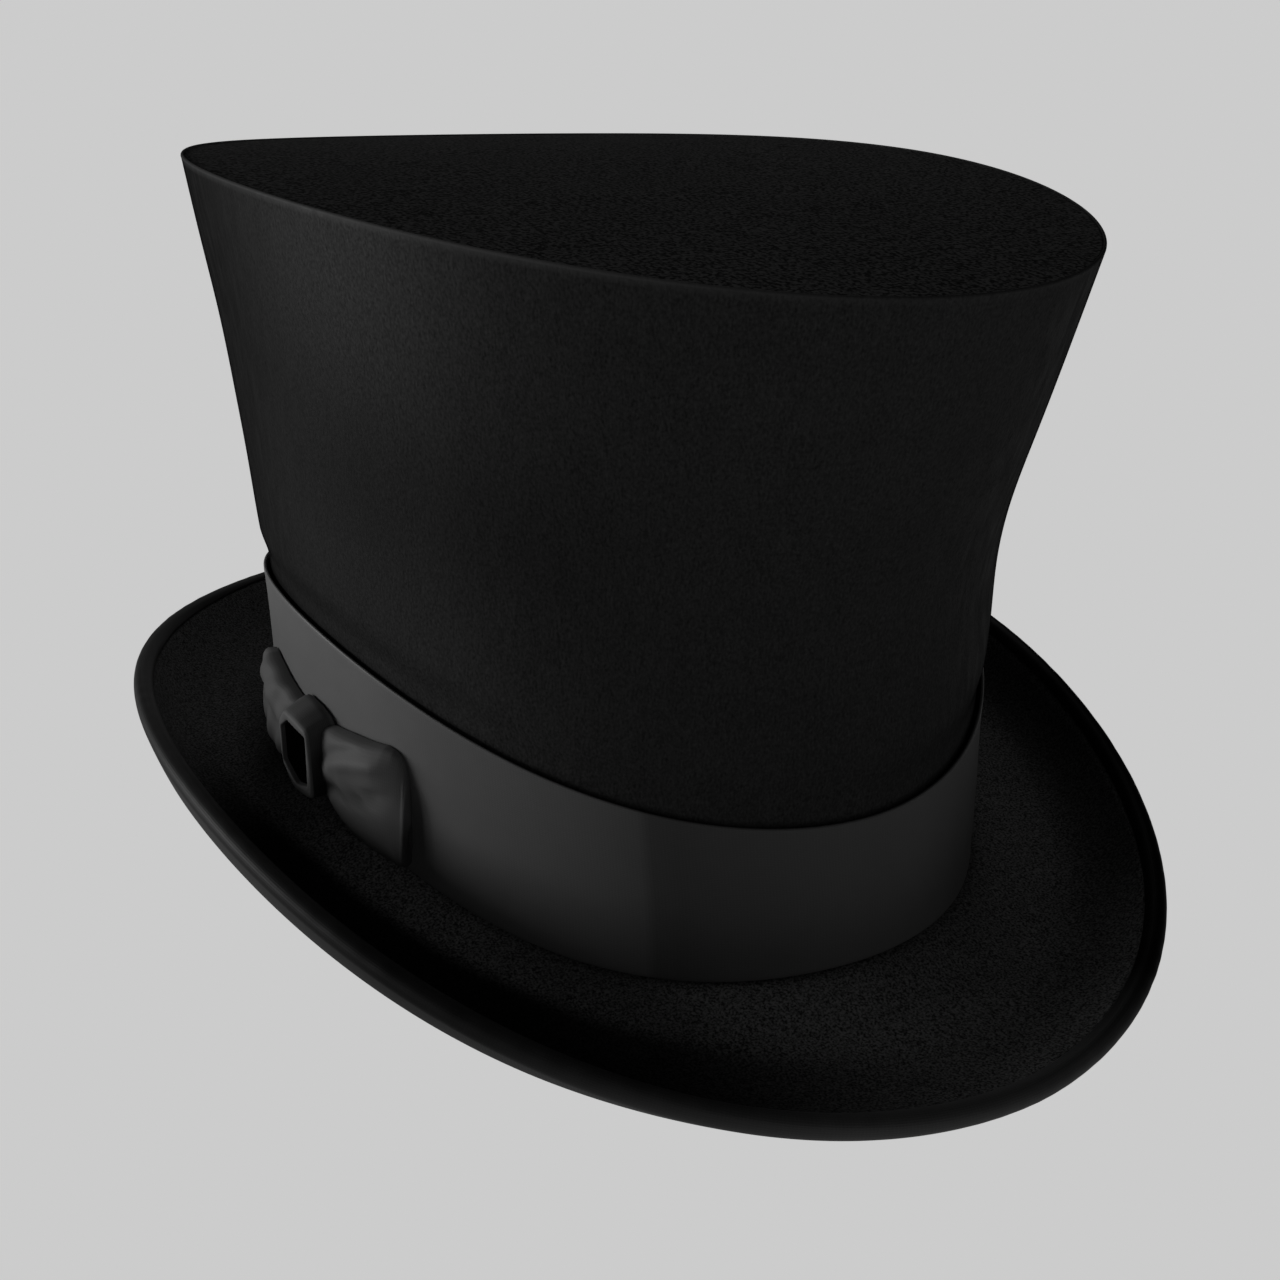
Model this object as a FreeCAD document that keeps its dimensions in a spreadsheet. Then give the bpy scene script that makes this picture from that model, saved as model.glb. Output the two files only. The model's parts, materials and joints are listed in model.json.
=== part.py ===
import FreeCAD, Part
import os
import math

# Top hat, size 57, standing on its brim.
# Frame: millimetres, +Z up, origin on the resting plane under the middle of
# the hat.  +Y is the wearer's front, -X the wearer's left, where the bow is.

os.makedirs("parts", exist_ok=True)
doc = FreeCAD.newDocument("top_hat")
V = FreeCAD.Vector

# ---------------------------------------------------------------- dimensions
sheet = doc.addObject("Spreadsheet::Sheet", "dims")
ROWS = [
    # crown: half width, half length and height of nine level ovals
    ("crown_level_one", 7.74), ("crown_wide_one", 82.8), ("crown_long_one", 111.7),
    ("crown_level_two", 28.24), ("crown_wide_two", 83.2), ("crown_long_two", 109.3),
    ("crown_level_three", 47.7), ("crown_wide_three", 84.6), ("crown_long_three", 105.8),
    ("crown_level_four", 63.1), ("crown_wide_four", 86.1), ("crown_long_four", 104.6),
    ("crown_level_five", 79.5), ("crown_wide_five", 87.5), ("crown_long_five", 102.6),
    ("crown_level_six", 95.9), ("crown_wide_six", 88.9), ("crown_long_six", 103.9),
    ("crown_level_seven", 114.3), ("crown_wide_seven", 90.5), ("crown_long_seven", 109.1),
    ("crown_level_eight", 132.8), ("crown_wide_eight", 92.9), ("crown_long_eight", 114.1),
    ("crown_level_nine", 151.2), ("crown_wide_nine", 95.1), ("crown_long_nine", 118.8),
    # oval exponents and the dip of the hat towards front and back
    ("oval_power_base", 1.93), ("oval_power_tip", 1.97), ("oval_power_brim", 1.873),
    ("band_low_level", 9.48), ("band_low_dip", 4.3), ("band_low_wave", 2.95),
    ("band_top_level", 48.8), ("band_top_dip", 10.8), ("band_top_wave", 1.46),
    ("rim_level", 150.9), ("rim_dip", 3.5), ("rim_wave", 0.15), ("crown_lean", 3.5),
    ("tip_dome", 2.5),
    # brim: edge oval, edge height, trough height
    ("brim_half_wide", 114.6), ("brim_half_long", 158.3), ("brim_oval_wave", -0.0145),
    ("brim_edge_level", 16.15), ("brim_edge_dip", 10.64), ("brim_edge_wave", 1.4),
    ("brim_edge_tilt", -1.6),
    ("trough_level", 6.85), ("trough_dip", 4.3), ("trough_wave", 1.7),
    ("trough_place", 0.42), ("brim_roll_power", 3.4), ("brim_roll_change", 0.9),
    # thicknesses
    ("felt_thick", 0.8), ("core_thick", 1.9), ("under_thick", 0.7), ("glue_gap", 0.1),
    ("ribbon_thick", 0.5), ("band_thick", 0.8), ("band_stand", 0.76),
    ("cover_neck", 1.0), ("cover_thick", 0.7), ("shell_thick", 2.2),
    ("collar_thick", 1.0), ("collar_rise", 11.0),
    ("lining_thick", 0.5), ("leather_thick", 1.2), ("leather_stand", 5.3),
    ("leather_top_level", 45.0), ("reed_radius", 0.9), ("wire_radius", 0.9),
    ("binding_leg", 8.0),
    # bow
    ("bow_back_y", -10.6), ("bow_mid_z", 29.2), ("bow_stand", 84.9),
    ("keeper_wide", 13.0), ("keeper_tall", 19.0), ("keeper_deep", 8.4),
    ("keeper_rim", 1.5), ("inset_deep", 1.2), ("keeper_edge", 1.2),
    ("loop_end_half_tall", 13.2), ("loop_mid_half_tall", 11.6), ("loop_root_half_tall", 9.0),
    ("loop_end_half_thick", 2.3), ("loop_mid_half_thick", 3.1), ("loop_root_half_thick", 2.1),
    ("loop_length", 27.0),
    ("pad_wide", 9.0), ("pad_tall", 15.0), ("pad_deep", 1.4),
    # small trim
    ("tab_wide", 26.0), ("tab_tall", 13.0), ("tab_thick", 0.25),
    ("stitch_radius", 0.2), ("stitch_long", 2.6),
    ("tack_radius", 0.6),
    ("sweat_bow_half", 9.0), ("sweat_bow_tall", 3.2), ("sweat_bow_thick", 1.0),
    ("sweat_knot_wide", 3.6), ("sweat_knot_tall", 3.8), ("sweat_knot_thick", 1.8),
]
for i, (alias, value) in enumerate(ROWS):
    sheet.set("A%d" % (i + 1), alias)
    sheet.set("B%d" % (i + 1), repr(value))
    sheet.setAlias("B%d" % (i + 1), alias)
doc.recompute()


def g(alias):
    """A driving dimension, read from the sheet."""
    return float(getattr(sheet, alias))


# ---------------------------------------------------------------- hat surfaces
NAMES = ["one", "two", "three", "four", "five", "six", "seven", "eight", "nine"]
ZK = [g("crown_level_" + n) for n in NAMES]
AK = [g("crown_wide_" + n) for n in NAMES]
BK = [g("crown_long_" + n) for n in NAMES]


def spline(xs, ys):
    """Natural cubic through the level ovals."""
    n = len(xs)
    hh = [xs[i + 1] - xs[i] for i in range(n - 1)]
    al = [0.0] * n
    for i in range(1, n - 1):
        al[i] = 3 * (ys[i + 1] - ys[i]) / hh[i] - 3 * (ys[i] - ys[i - 1]) / hh[i - 1]
    lo, mu, zz = [1.0] * n, [0.0] * n, [0.0] * n
    for i in range(1, n - 1):
        lo[i] = 2 * (xs[i + 1] - xs[i - 1]) - hh[i - 1] * mu[i - 1]
        mu[i] = hh[i] / lo[i]
        zz[i] = (al[i] - hh[i - 1] * zz[i - 1]) / lo[i]
    cc = [0.0] * n
    for j in range(n - 2, -1, -1):
        cc[j] = zz[j] - mu[j] * cc[j + 1]

    def f(x):
        j = 0
        while j < n - 2 and x > xs[j + 1]:
            j += 1
        b = (ys[j + 1] - ys[j]) / hh[j] - hh[j] * (cc[j + 1] + 2 * cc[j]) / 3
        d = (cc[j + 1] - cc[j]) / (3 * hh[j])
        u = x - xs[j]
        return ys[j] + b * u + cc[j] * u * u + d * u ** 3
    return f


FA, FB = spline(ZK, AK), spline(ZK, BK)
LV = [g("band_low_level"), g("band_top_level"), g("rim_level")]


def lerp3(x, vals):
    if x <= LV[0]:
        return vals[0]
    if x >= LV[2]:
        return vals[2]
    k = 0 if x < LV[1] else 1
    u = (x - LV[k]) / (LV[k + 1] - LV[k])
    return vals[k] + (vals[k + 1] - vals[k]) * u


def oval(a, b, n, th):
    c, s = math.cos(th), math.sin(th)
    return (a * math.copysign(abs(c) ** (2.0 / n), c),
            b * math.copysign(abs(s) ** (2.0 / n), s))


def lean(level):
    """The crown's upper part leans a little to the front."""
    return g("crown_lean") * min(1.0, max(0.0, (level - LV[1]) / (LV[2] - LV[1])))


def crown(level, off, th, dz=0.0):
    """Point of the crown at a level, moved out by off from the outer form."""
    dip = lerp3(level, [g("band_low_dip"), g("band_top_dip"), g("rim_dip")])
    wav = lerp3(level, [g("band_low_wave"), g("band_top_wave"), g("rim_wave")])
    n = lerp3(level, [g("oval_power_base"), g("oval_power_base"), g("oval_power_tip")])
    x, y = oval(FA(level) + off, FB(level) + off, n, th)
    y += lean(level)
    return V(x, y, level + dip * math.cos(2 * th) + wav * math.cos(4 * th) + dz)


def neck(level):
    """How far the crown draws in behind the band."""
    top = g("band_top_level")
    u = min(1.0, max(0.0, (level - (top + 4.0)) / 8.0))
    return -g("cover_neck") * (1 - u * u * (3 - 2 * u))


def z_band(th):
    return (g("band_low_level") + g("band_low_dip") * math.cos(2 * th)
            + g("band_low_wave") * math.cos(4 * th))


def brim_top(t, th):
    """Upper face of the brim, from the foot of the band (0) to the edge (1)."""
    a0, b0, n0 = FA(g("band_low_level")), FB(g("band_low_level")), g("oval_power_base")
    a = a0 + (g("brim_half_wide") - a0) * t
    b = b0 + (g("brim_half_long") - b0) * t
    n = n0 + (g("oval_power_brim") - n0) * t
    x, y = oval(a, b, n, th)
    swell = 1 + g("brim_oval_wave") * t * math.cos(4 * th)
    x, y = x * swell, y * swell
    c2, c4 = math.cos(2 * th), math.cos(4 * th)
    zb = z_band(th) - 0.4
    zv = g("trough_level") + g("trough_dip") * c2 + g("trough_wave") * c4
    zc = (g("brim_edge_level") + g("brim_edge_dip") * c2 + g("brim_edge_wave") * c4
          + g("brim_edge_tilt") * math.sin(th))
    tv = g("trough_place")
    if t < tv:
        z = zv + (zb - zv) * 0.5 * (1 + math.cos(math.pi * max(t, 0.0) / tv))
    else:
        p = g("brim_roll_power") + g("brim_roll_change") * c2
        z = zv + (zc - zv) * ((t - tv) / (1 - tv)) ** p
    return V(x, y, z)


def brim_frame(t, th):
    """Unit vectors across the brim (outwards) and down through it."""
    e = 1e-4
    t0, t1 = max(t - e, 0.0), min(t + e, 1.0)
    across = (brim_top(t1, th) - brim_top(t0, th))
    speed = across.Length / (t1 - t0)
    across.normalize()
    along = brim_top(t, th + e) - brim_top(t, th - e)
    along.normalize()
    down = along.cross(across)
    down.normalize()
    if t <= 0.0:
        down = V(0, 0, -1)
    return across, down, speed


def brim(t, depth, th):
    """Point at a depth under the upper face of the brim."""
    return brim_top(t, th) + brim_frame(t, th)[1] * depth


def brim_end(back, depth, th):
    """Same, a distance back from the edge."""
    speed = brim_frame(1.0, th)[2]
    return brim(1.0 - back / speed, depth, th)


# ---------------------------------------------------------------- ring solids
COUNT = 48
ANG = [2 * math.pi * i / COUNT for i in range(COUNT)]


def ring_edge(fn):
    """Closed, evenly knotted cubic round the hat through fn(angle)."""
    pts = [fn(t) for t in ANG]
    poles = list(pts)
    for _ in range(40):
        for i in range(COUNT):
            poles[i] = (pts[i] * 6 - poles[i - 1] - poles[(i + 1) % COUNT]) * 0.25
    c = Part.BSplineCurve()
    # the first knot lies on the first pole's neighbour, so turn the list by one
    c.buildFromPolesMultsKnots([poles[(i - 1) % COUNT] for i in range(COUNT)],
                               [1] * (COUNT + 1), [float(i) for i in range(COUNT + 1)], True, 3)
    return c.toShape()


def sew(faces):
    comp = Part.makeCompound(faces)
    comp.sewShape()
    shell = comp.Shells[0] if comp.Shells else Part.Shell(faces)
    solid = Part.Solid(shell)
    if solid.Volume < 0:
        solid.reverse()
    return solid


def ring_solid(fns):
    """Solid ring whose section is the closed polygon of the given lines."""
    edges = [ring_edge(f) for f in fns]
    faces = [Part.makeRuledSurface(edges[i], edges[(i + 1) % len(edges)])
             for i in range(len(edges))]
    return sew(faces)


def disc_solid(top, bottom):
    """Domed disc: rings listed from rim to middle on each side."""
    et, eb = [ring_edge(f) for f in top], [ring_edge(f) for f in bottom]
    faces = [Part.makeRuledSurface(et[i], et[i + 1]) for i in range(len(et) - 1)]
    faces += [Part.makeRuledSurface(eb[i], eb[i + 1]) for i in range(len(eb) - 1)]
    faces.append(Part.makeRuledSurface(et[0], eb[0]))
    for e in (et[-1], eb[-1]):
        faces.append(Part.Face(Part.Wire([e])))
    return sew(faces)


def feature(label, shape):
    o = doc.addObject("Part::Feature", label)
    o.Shape = shape
    o.Placement = FreeCAD.Placement()
    o.Label = label
    return o


def tube_ring(centre, frame, radius):
    """Round ring solid about a closed line: twelve lines round the section."""
    k = 10
    return ring_solid([
        (lambda th, a=2 * math.pi * i / k:
            centre(th) + frame(th)[0] * (radius * math.cos(a)) + frame(th)[1] * (radius * math.sin(a)))
        for i in range(k)])


gap = g("glue_gap")
low = g("band_low_level")
rim = g("rim_level")
th_cover, th_shell = g("cover_thick"), g("shell_thick")

parts = []

# ---- crown: stiff tube, cover, tip board, tip cover
UNDER_BAND = low - 1.1
side_levels = [UNDER_BAND, 18, 30, 42, 50, 53, 57, 61, 68, 76, 84, 92, 100, 108, 116, 124, 132, 140, 146]


def side(level, depth, dz=0.0):
    return lambda th: crown(level, neck(level) - depth, th, dz)


outer = [side(l, 0.0) for l in side_levels] + [side(rim - 0.5, 0.0), side(rim, 0.35)]
inner = [side(rim, th_cover), ] + [side(l, th_cover) for l in reversed(side_levels)]
parts.append(feature("crown_side_cover", ring_solid(outer + inner)))

d0 = th_cover + gap
d1 = d0 + th_shell
shell_top = rim - 0.3 - g("felt_thick") - gap
shell_levels = [UNDER_BAND, 18, 30, 42, 50, 53, 57, 61, 68, 76, 84, 92, 100, 108, 116, 124, 132, 140, shell_top]
parts.append(feature("crown_side_shell", ring_solid(
    [side(l, d0) for l in shell_levels] + [side(l, d1) for l in reversed(shell_levels)])))

RINGS = [1.0, 0.92, 0.8, 0.64, 0.46, 0.28, 0.1]


def tip(scale, depth, drop):
    """Point ring of the domed tip, drop below the rim."""
    k = (scale * scale - RINGS[-1] ** 2) / (1 - RINGS[-1] ** 2)

    def f(th):
        x, y = oval((FA(rim) - depth) * scale, (FB(rim) - depth) * scale, g("oval_power_tip"), th)
        y += g("crown_lean")
        z = (rim - drop + k * (g("rim_dip") * math.cos(2 * th) + g("rim_wave") * math.cos(4 * th))
             + g("tip_dome") * (1 - scale * scale))
        return V(x, y, z)
    return f


def tip_disc(depth, drop, thick):
    return disc_solid([tip(s_, depth, drop) for s_ in RINGS],
                      [tip(s_, depth, drop + thick) for s_ in RINGS])


parts.append(feature("crown_tip_cover", tip_disc(d0, 0.3, g("felt_thick"))))
board_drop = 0.3 + g("felt_thick") + gap
parts.append(feature("crown_tip_board", tip_disc(d1 + gap, board_drop, 2.0)))
lining_drop = board_drop + 2.0 + gap
parts.append(feature("tip_lining", tip_disc(d1 + gap, lining_drop, g("lining_thick"))))

# ---- side lining, from behind the sweatband to the tip
lin_levels = [24, 34, 44, 50, 53, 57, 61, 68, 76, 84, 92, 100, 108, 116, 124, 132, 140,
              rim - lining_drop - g("lining_thick") - gap]
dl = d1 + gap
parts.append(feature("side_lining", ring_solid(
    [side(l, dl) for l in lin_levels]
    + [side(l, dl + g("lining_thick")) for l in reversed(lin_levels)])))

# ---- brim: stiff core with its collar, felt above, cloth below
T_STEPS = [0.0, 0.05, 0.12, 0.2, 0.28, 0.36, 0.44, 0.53, 0.62, 0.7, 0.77, 0.83, 0.88, 0.92, 0.955]
felt, core, under = g("felt_thick"), g("core_thick"), g("under_thick")


def inner_line(off, dz):
    return lambda th: crown(low, off, th, dz - 0.4)


def brim_line(t, depth):
    return lambda th: brim(t, depth, th)


def edge_line(back, depth):
    return lambda th: brim_end(back, depth, th)


EDGE_BACK = 1.3
parts.append(feature("brim_top_cover", ring_solid(
    [inner_line(-g("cover_neck") + gap, 0.0)]
    + [brim_line(t, 0.0) for t in T_STEPS] + [edge_line(EDGE_BACK, 0.0), edge_line(EDGE_BACK, felt)]
    + [brim_line(t, felt) for t in reversed(T_STEPS)]
    + [inner_line(-g("cover_neck") + gap, -felt)])))

c0, c1 = felt + gap, felt + gap + core
col_out = -(g("cover_neck") + d1 + gap)
col_in = col_out - g("collar_thick")
parts.append(feature("brim_core", ring_solid(
    [inner_line(col_in, g("collar_rise")), inner_line(col_out, g("collar_rise")),
     inner_line(col_out, -c0), inner_line(-g("cover_neck") + gap, -c0)]
    + [brim_line(t, c0) for t in T_STEPS] + [edge_line(EDGE_BACK, c0), edge_line(EDGE_BACK, c1)]
    + [brim_line(t, c1) for t in reversed(T_STEPS)]
    + [inner_line(col_in, -c1)])))

u0, u1 = c1 + gap, c1 + gap + under
parts.append(feature("brim_under_cover", ring_solid(
    [inner_line(col_in, -u0)]
    + [brim_line(t, u0) for t in T_STEPS] + [edge_line(EDGE_BACK, u0), edge_line(EDGE_BACK, u1)]
    + [brim_line(t, u1) for t in reversed(T_STEPS)]
    + [inner_line(col_in, -u1)])))

# ---- brim edge: wire and folded ribbon
total = u1
rib = g("ribbon_thick")


def edge_centre(th):
    return brim_end(0.0, total / 2, th)


def edge_frame(th):
    across, down, sp = brim_frame(1.0, th)
    return across, down


def round_line(radius, ang):
    """Line round the brim edge: angle 0 on the upper face, pi on the lower."""
    def f(th):
        across, down = edge_frame(th)
        return edge_centre(th) + down * (-radius * math.cos(ang)) + across * (radius * math.sin(ang))
    return f


parts.append(feature("brim_wire", tube_ring(edge_centre, edge_frame, g("wire_radius"))))

ri, ro = total / 2 + 0.05, total / 2 + 0.05 + rib
arc = [0.0, 0.2, 0.4, 0.6, 0.8, 1.0]
leg = g("binding_leg")
outline = [edge_line(1.2, -0.05 - rib)]
outline += [round_line(ro, math.pi * a) for a in arc]
outline += [edge_line(leg * k, total + 0.05 + rib) for k in (0.25, 0.5, 0.75, 1.0)]
outline += [edge_line(leg * k, total + 0.05) for k in (1.0, 0.75, 0.5, 0.25)]
outline += [round_line(ri, math.pi * a) for a in reversed(arc)]
outline += [edge_line(1.2, -0.05)]
parts.append(feature("brim_binding", ring_solid(outline)))

# ---- hat band
band_levels = [low, 14, 22, 30, 38, 44, g("band_top_level")]
stand, bt = g("band_stand"), g("band_thick")
parts.append(feature("hat_band", ring_solid(
    [(lambda th, l=l: crown(l, stand, th)) for l in band_levels]
    + [(lambda th, l=l: crown(l, stand - bt, th)) for l in reversed(band_levels)])))

# ---- sweatband and its reed
ls, lt = g("leather_stand"), g("leather_thick")
sw_levels = [low - 1.6, 16, 24, 32, g("leather_top_level")]
parts.append(feature("sweatband", ring_solid(
    [(lambda th, l=l: crown(l, -ls, th)) for l in sw_levels]
    + [(lambda th, l=l: crown(l, -ls - lt, th)) for l in reversed(sw_levels)])))
reed_r = g("reed_radius")
parts.append(feature("sweatband_reed", tube_ring(
    lambda th: crown(low, -ls - reed_r - 0.05, th, -1.6 - gap - reed_r),
    lambda th: (V(math.cos(th), math.sin(th), 0), V(0, 0, 1)), reed_r)))

# ---- machine stitches on the sweatband, each a short rounded bar
def bar(p, q, radius):
    d = q - p
    body = Part.makeCylinder(radius, d.Length, p, d)
    return body


def stitch_ring(level, off, count, length, radius, dz=0.0):
    """Separate stitches laid end to end along a level."""
    out = []
    for i in range(count):
        th = 2 * math.pi * (i + 0.5) / count
        p = crown(level, off, th, dz)
        q = crown(level, off, th + 1e-3, dz)
        d = q - p
        d.normalize()
        out.append(bar(p - d * (length / 2), p + d * (length / 2), radius))
    return Part.makeCompound(out)


sr, sl = g("stitch_radius"), g("stitch_long")
parts.append(feature("sweatband_stitches",
                     stitch_ring(low + 4.0, -ls - lt - sr - 0.08, 96, sl, sr)))

# ---- bow on the wearer's left -------------------------------------------
def body_of(label):
    b = doc.addObject("PartDesign::Body", label)
    b.Label = label
    return b


def plane_of(body, role):
    for f in body.Origin.OriginFeatures:
        if f.Role == role:
            return f
    raise RuntimeError("no plane " + role)


def rect_sketch(body, name, role, w_expr, h_expr, offset_expr=None):
    """Centred rectangle on one of the body's own planes."""
    import Sketcher
    sk = body.newObject("Sketcher::SketchObject", name)
    sk.AttachmentSupport = [(plane_of(body, role), "")]
    sk.MapMode = "FlatFace"
    w, h = 10.0, 10.0
    pts = [V(-w / 2, -h / 2, 0), V(w / 2, -h / 2, 0), V(w / 2, h / 2, 0), V(-w / 2, h / 2, 0)]
    for i in range(4):
        sk.addGeometry(Part.LineSegment(pts[i], pts[(i + 1) % 4]), False)
    for i in range(4):
        sk.addConstraint(Sketcher.Constraint("Coincident", i, 2, (i + 1) % 4, 1))
    sk.addConstraint(Sketcher.Constraint("Horizontal", 0))
    sk.addConstraint(Sketcher.Constraint("Horizontal", 2))
    sk.addConstraint(Sketcher.Constraint("Vertical", 1))
    sk.addConstraint(Sketcher.Constraint("Vertical", 3))
    sk.addConstraint(Sketcher.Constraint("Symmetric", 0, 1, 1, 2, -1, 1))
    cw = sk.addConstraint(Sketcher.Constraint("DistanceX", 0, 1, 0, 2, w))
    ch = sk.addConstraint(Sketcher.Constraint("DistanceY", 1, 1, 1, 2, h))
    sk.setExpression("Constraints[%d]" % cw, w_expr)
    sk.setExpression("Constraints[%d]" % ch, h_expr)
    if offset_expr:
        sk.setExpression("AttachmentOffset.Base.z", offset_expr)
    doc.recompute()
    return sk


# The bodies lie in the YZ plane and grow along X: a sketch on YZ has its own
# x along Y and its own y along Z.  The whole bow turns a little round Z to
# follow the band.
TURN = FreeCAD.Rotation(V(0, 0, 1), 4.0)
pad_face = -(g("bow_stand"))


def bow_place(x, dy=0.0, dz=0.0):
    return FreeCAD.Placement(V(x, g("bow_back_y") + dy, g("bow_mid_z") + dz), TURN)


backing = body_of("bow_backing")
sk = rect_sketch(backing, "backing_outline", "YZ_Plane", "dims.pad_wide", "dims.pad_tall")
pad = backing.newObject("PartDesign::Pad", "backing_pad")
pad.Profile = sk
pad.Reversed = True
pad.setExpression("Length", "dims.pad_deep")
doc.recompute()
backing.Placement = bow_place(pad_face)
parts.append(backing)

keeper = body_of("bow_keeper")
sk = rect_sketch(keeper, "keeper_outline", "YZ_Plane", "dims.keeper_wide", "dims.keeper_tall")
kp = keeper.newObject("PartDesign::Pad", "keeper_pad")
kp.Profile = sk
kp.Reversed = True
kp.setExpression("Length", "dims.keeper_deep - dims.pad_deep - dims.glue_gap")
doc.recompute()
sk2 = rect_sketch(keeper, "keeper_hollow", "YZ_Plane",
                  "dims.keeper_wide - 2 * dims.keeper_rim", "dims.keeper_tall - 2 * dims.keeper_rim",
                  "-(dims.keeper_deep - dims.pad_deep - dims.glue_gap)")
pk = keeper.newObject("PartDesign::Pocket", "keeper_pocket")
pk.Profile = sk2
pk.Reversed = True
pk.setExpression("Length", "dims.inset_deep")
doc.recompute()
if keeper.Shape.Volume > kp.Shape.Volume - 1.0:
    pk.Reversed = False
    doc.recompute()
edges = []
for i, e in enumerate(kp.Shape.Edges):
    mid = e.valueAt((e.FirstParameter + e.LastParameter) / 2)
    if abs(abs(mid.y) - g("keeper_wide") / 2) < 0.01 and abs(abs(mid.z) - g("keeper_tall") / 2) < 0.01:
        edges.append(mid)
names = []
for i, e in enumerate(pk.Shape.Edges):
    mid = e.valueAt((e.FirstParameter + e.LastParameter) / 2)
    if any((mid - m).Length < 0.01 for m in edges):
        names.append("Edge%d" % (i + 1))
fl = keeper.newObject("PartDesign::Fillet", "keeper_edges")
fl.Base = (pk, names)
fl.setExpression("Radius", "dims.keeper_edge")
doc.recompute()
keeper.Placement = bow_place(pad_face - g("pad_deep") - gap)
parts.append(keeper)

inset = body_of("bow_keeper_inset")
sk = rect_sketch(inset, "inset_outline", "YZ_Plane",
                 "dims.keeper_wide - 2 * dims.keeper_rim - 2 * dims.glue_gap",
                 "dims.keeper_tall - 2 * dims.keeper_rim - 2 * dims.glue_gap")
ip = inset.newObject("PartDesign::Pad", "inset_pad")
ip.Profile = sk
ip.Reversed = True
ip.setExpression("Length", "dims.inset_deep / 2")
doc.recompute()
inset.Placement = bow_place(pad_face - g("keeper_deep") + g("inset_deep") - 0.02)
parts.append(inset)


def loop(label, direction):
    """One puffed loop: a loft through four upright ovals that leave the keeper."""
    wires = []
    y0 = g("bow_back_y") + direction * (g("keeper_wide") / 2 + 0.5)
    plan = [(0.0, "loop_root_half_tall", "loop_root_half_thick", 0.3),
            (0.34, "loop_mid_half_tall", "loop_mid_half_thick", 0.25),
            (0.68, "loop_end_half_tall", "loop_mid_half_thick", 0.1),
            (1.0, "loop_end_half_tall", "loop_end_half_thick", 0.0)]
    for k, (u, tall, thick, extra) in enumerate(plan):
        y = y0 + direction * u * g("loop_length")
        # find the band face at this y, at the middle of the bow
        th = math.pi
        for _ in range(60):
            p = crown(30.0, stand, th)
            th -= (y - p.y) / 110.0
        x = crown(30.0, stand, th).x - 0.5 - g(thick) - extra
        e = doc.addObject("Part::Ellipse", "%s_oval_%s" % (label, NAMES[k]))
        e.setExpression("MajorRadius", "dims." + tall)
        e.setExpression("MinorRadius", "dims." + thick)
        zc = g("bow_mid_z") + (g(tall) - g("loop_root_half_tall")) * -0.1 - u * 0.8
        e.Placement = FreeCAD.Placement(V(x, y, zc), FreeCAD.Rotation(V(0, 0, 1), V(1, 0, 0), V(0, -1, 0), "ZYX"))
        wires.append(e)
    doc.recompute()
    lf = doc.addObject("Part::Loft", label)
    lf.Sections = wires
    lf.Solid = True
    lf.Ruled = False
    lf.Label = label
    doc.recompute()
    return lf


parts.append(loop("bow_loop_rear", -1))
parts.append(loop("bow_loop_front", 1))

# ---- small bow that closes the sweatband at the back of the head
def small_bow():
    out = []
    base = crown(34.0, -ls - lt, -math.pi / 2)
    for side_name, sgn in (("left", -1), ("right", 1)):
        wires = []
        for k, (u, tall, thick) in enumerate([(0.1, 0.3, 0.55), (0.45, 0.42, 0.9), (0.8, 0.5, 0.9), (1.0, 0.5, 0.6)]):
            e = doc.addObject("Part::Ellipse", "sweat_bow_%s_%s" % (side_name, NAMES[k]))
            e.setExpression("MajorRadius", "dims.sweat_bow_tall * %g" % tall)
            e.setExpression("MinorRadius", "dims.sweat_bow_thick * %g" % (thick * 0.8))
            e.Placement = FreeCAD.Placement(
                V(sgn * u * g("sweat_bow_half"), base.y + 2.0, base.z),
                FreeCAD.Rotation(V(0, 0, 1), V(0, 1, 0), V(-1, 0, 0), "ZYX"))
            wires.append(e)
        lf = doc.addObject("Part::Loft", "sweat_bow_" + side_name)
        lf.Sections = wires
        lf.Solid = True
        lf.Ruled = False
        out.append(lf)
    k = doc.addObject("Part::Box", "sweat_bow_knot")
    k.setExpression("Length", "dims.sweat_knot_wide")
    k.setExpression("Width", "dims.sweat_knot_thick")
    k.setExpression("Height", "dims.sweat_knot_tall")
    k.Placement = FreeCAD.Placement(
        V(-g("sweat_knot_wide") / 2, base.y + 1.1, base.z - g("sweat_knot_tall") / 2), FreeCAD.Rotation())
    out.append(k)
    doc.recompute()
    f = doc.addObject("Part::MultiFuse", "sweatband_bow")
    f.Shapes = out
    f.Label = "sweatband_bow"
    doc.recompute()
    return f


parts.append(small_bow())

# ---- blank size tab standing behind the sweatband's top edge, at the back
tab = doc.addObject("Part::Box", "size_tab")
tab.Label = "size_tab"
tab.setExpression("Length", "dims.tab_wide")
tab.setExpression("Width", "dims.tab_thick")
tab.setExpression("Height", "dims.tab_tall")
pt = crown(g("leather_top_level"), -ls - lt, math.pi / 2)
tab.Placement = FreeCAD.Placement(
    V(-g("tab_wide") / 2, pt.y - 1.2, pt.z - g("tab_tall") - 3.0), FreeCAD.Rotation())
parts.append(tab)

# ---- thread tacks that hold the band: four on its upper edge
tacks = []
for deg in (35, 145, 235, 325):
    th = math.radians(deg)
    p = crown(g("band_top_level") - 1.6, stand + g("tack_radius") * 0.55 + 0.3, th)
    q = crown(g("band_top_level") - 3.4, stand + g("tack_radius") * 0.55 + 0.3, th)
    tacks.append(bar(p, q, 0.3))
parts.append(feature("band_tacks", Part.makeCompound(tacks)))

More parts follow.
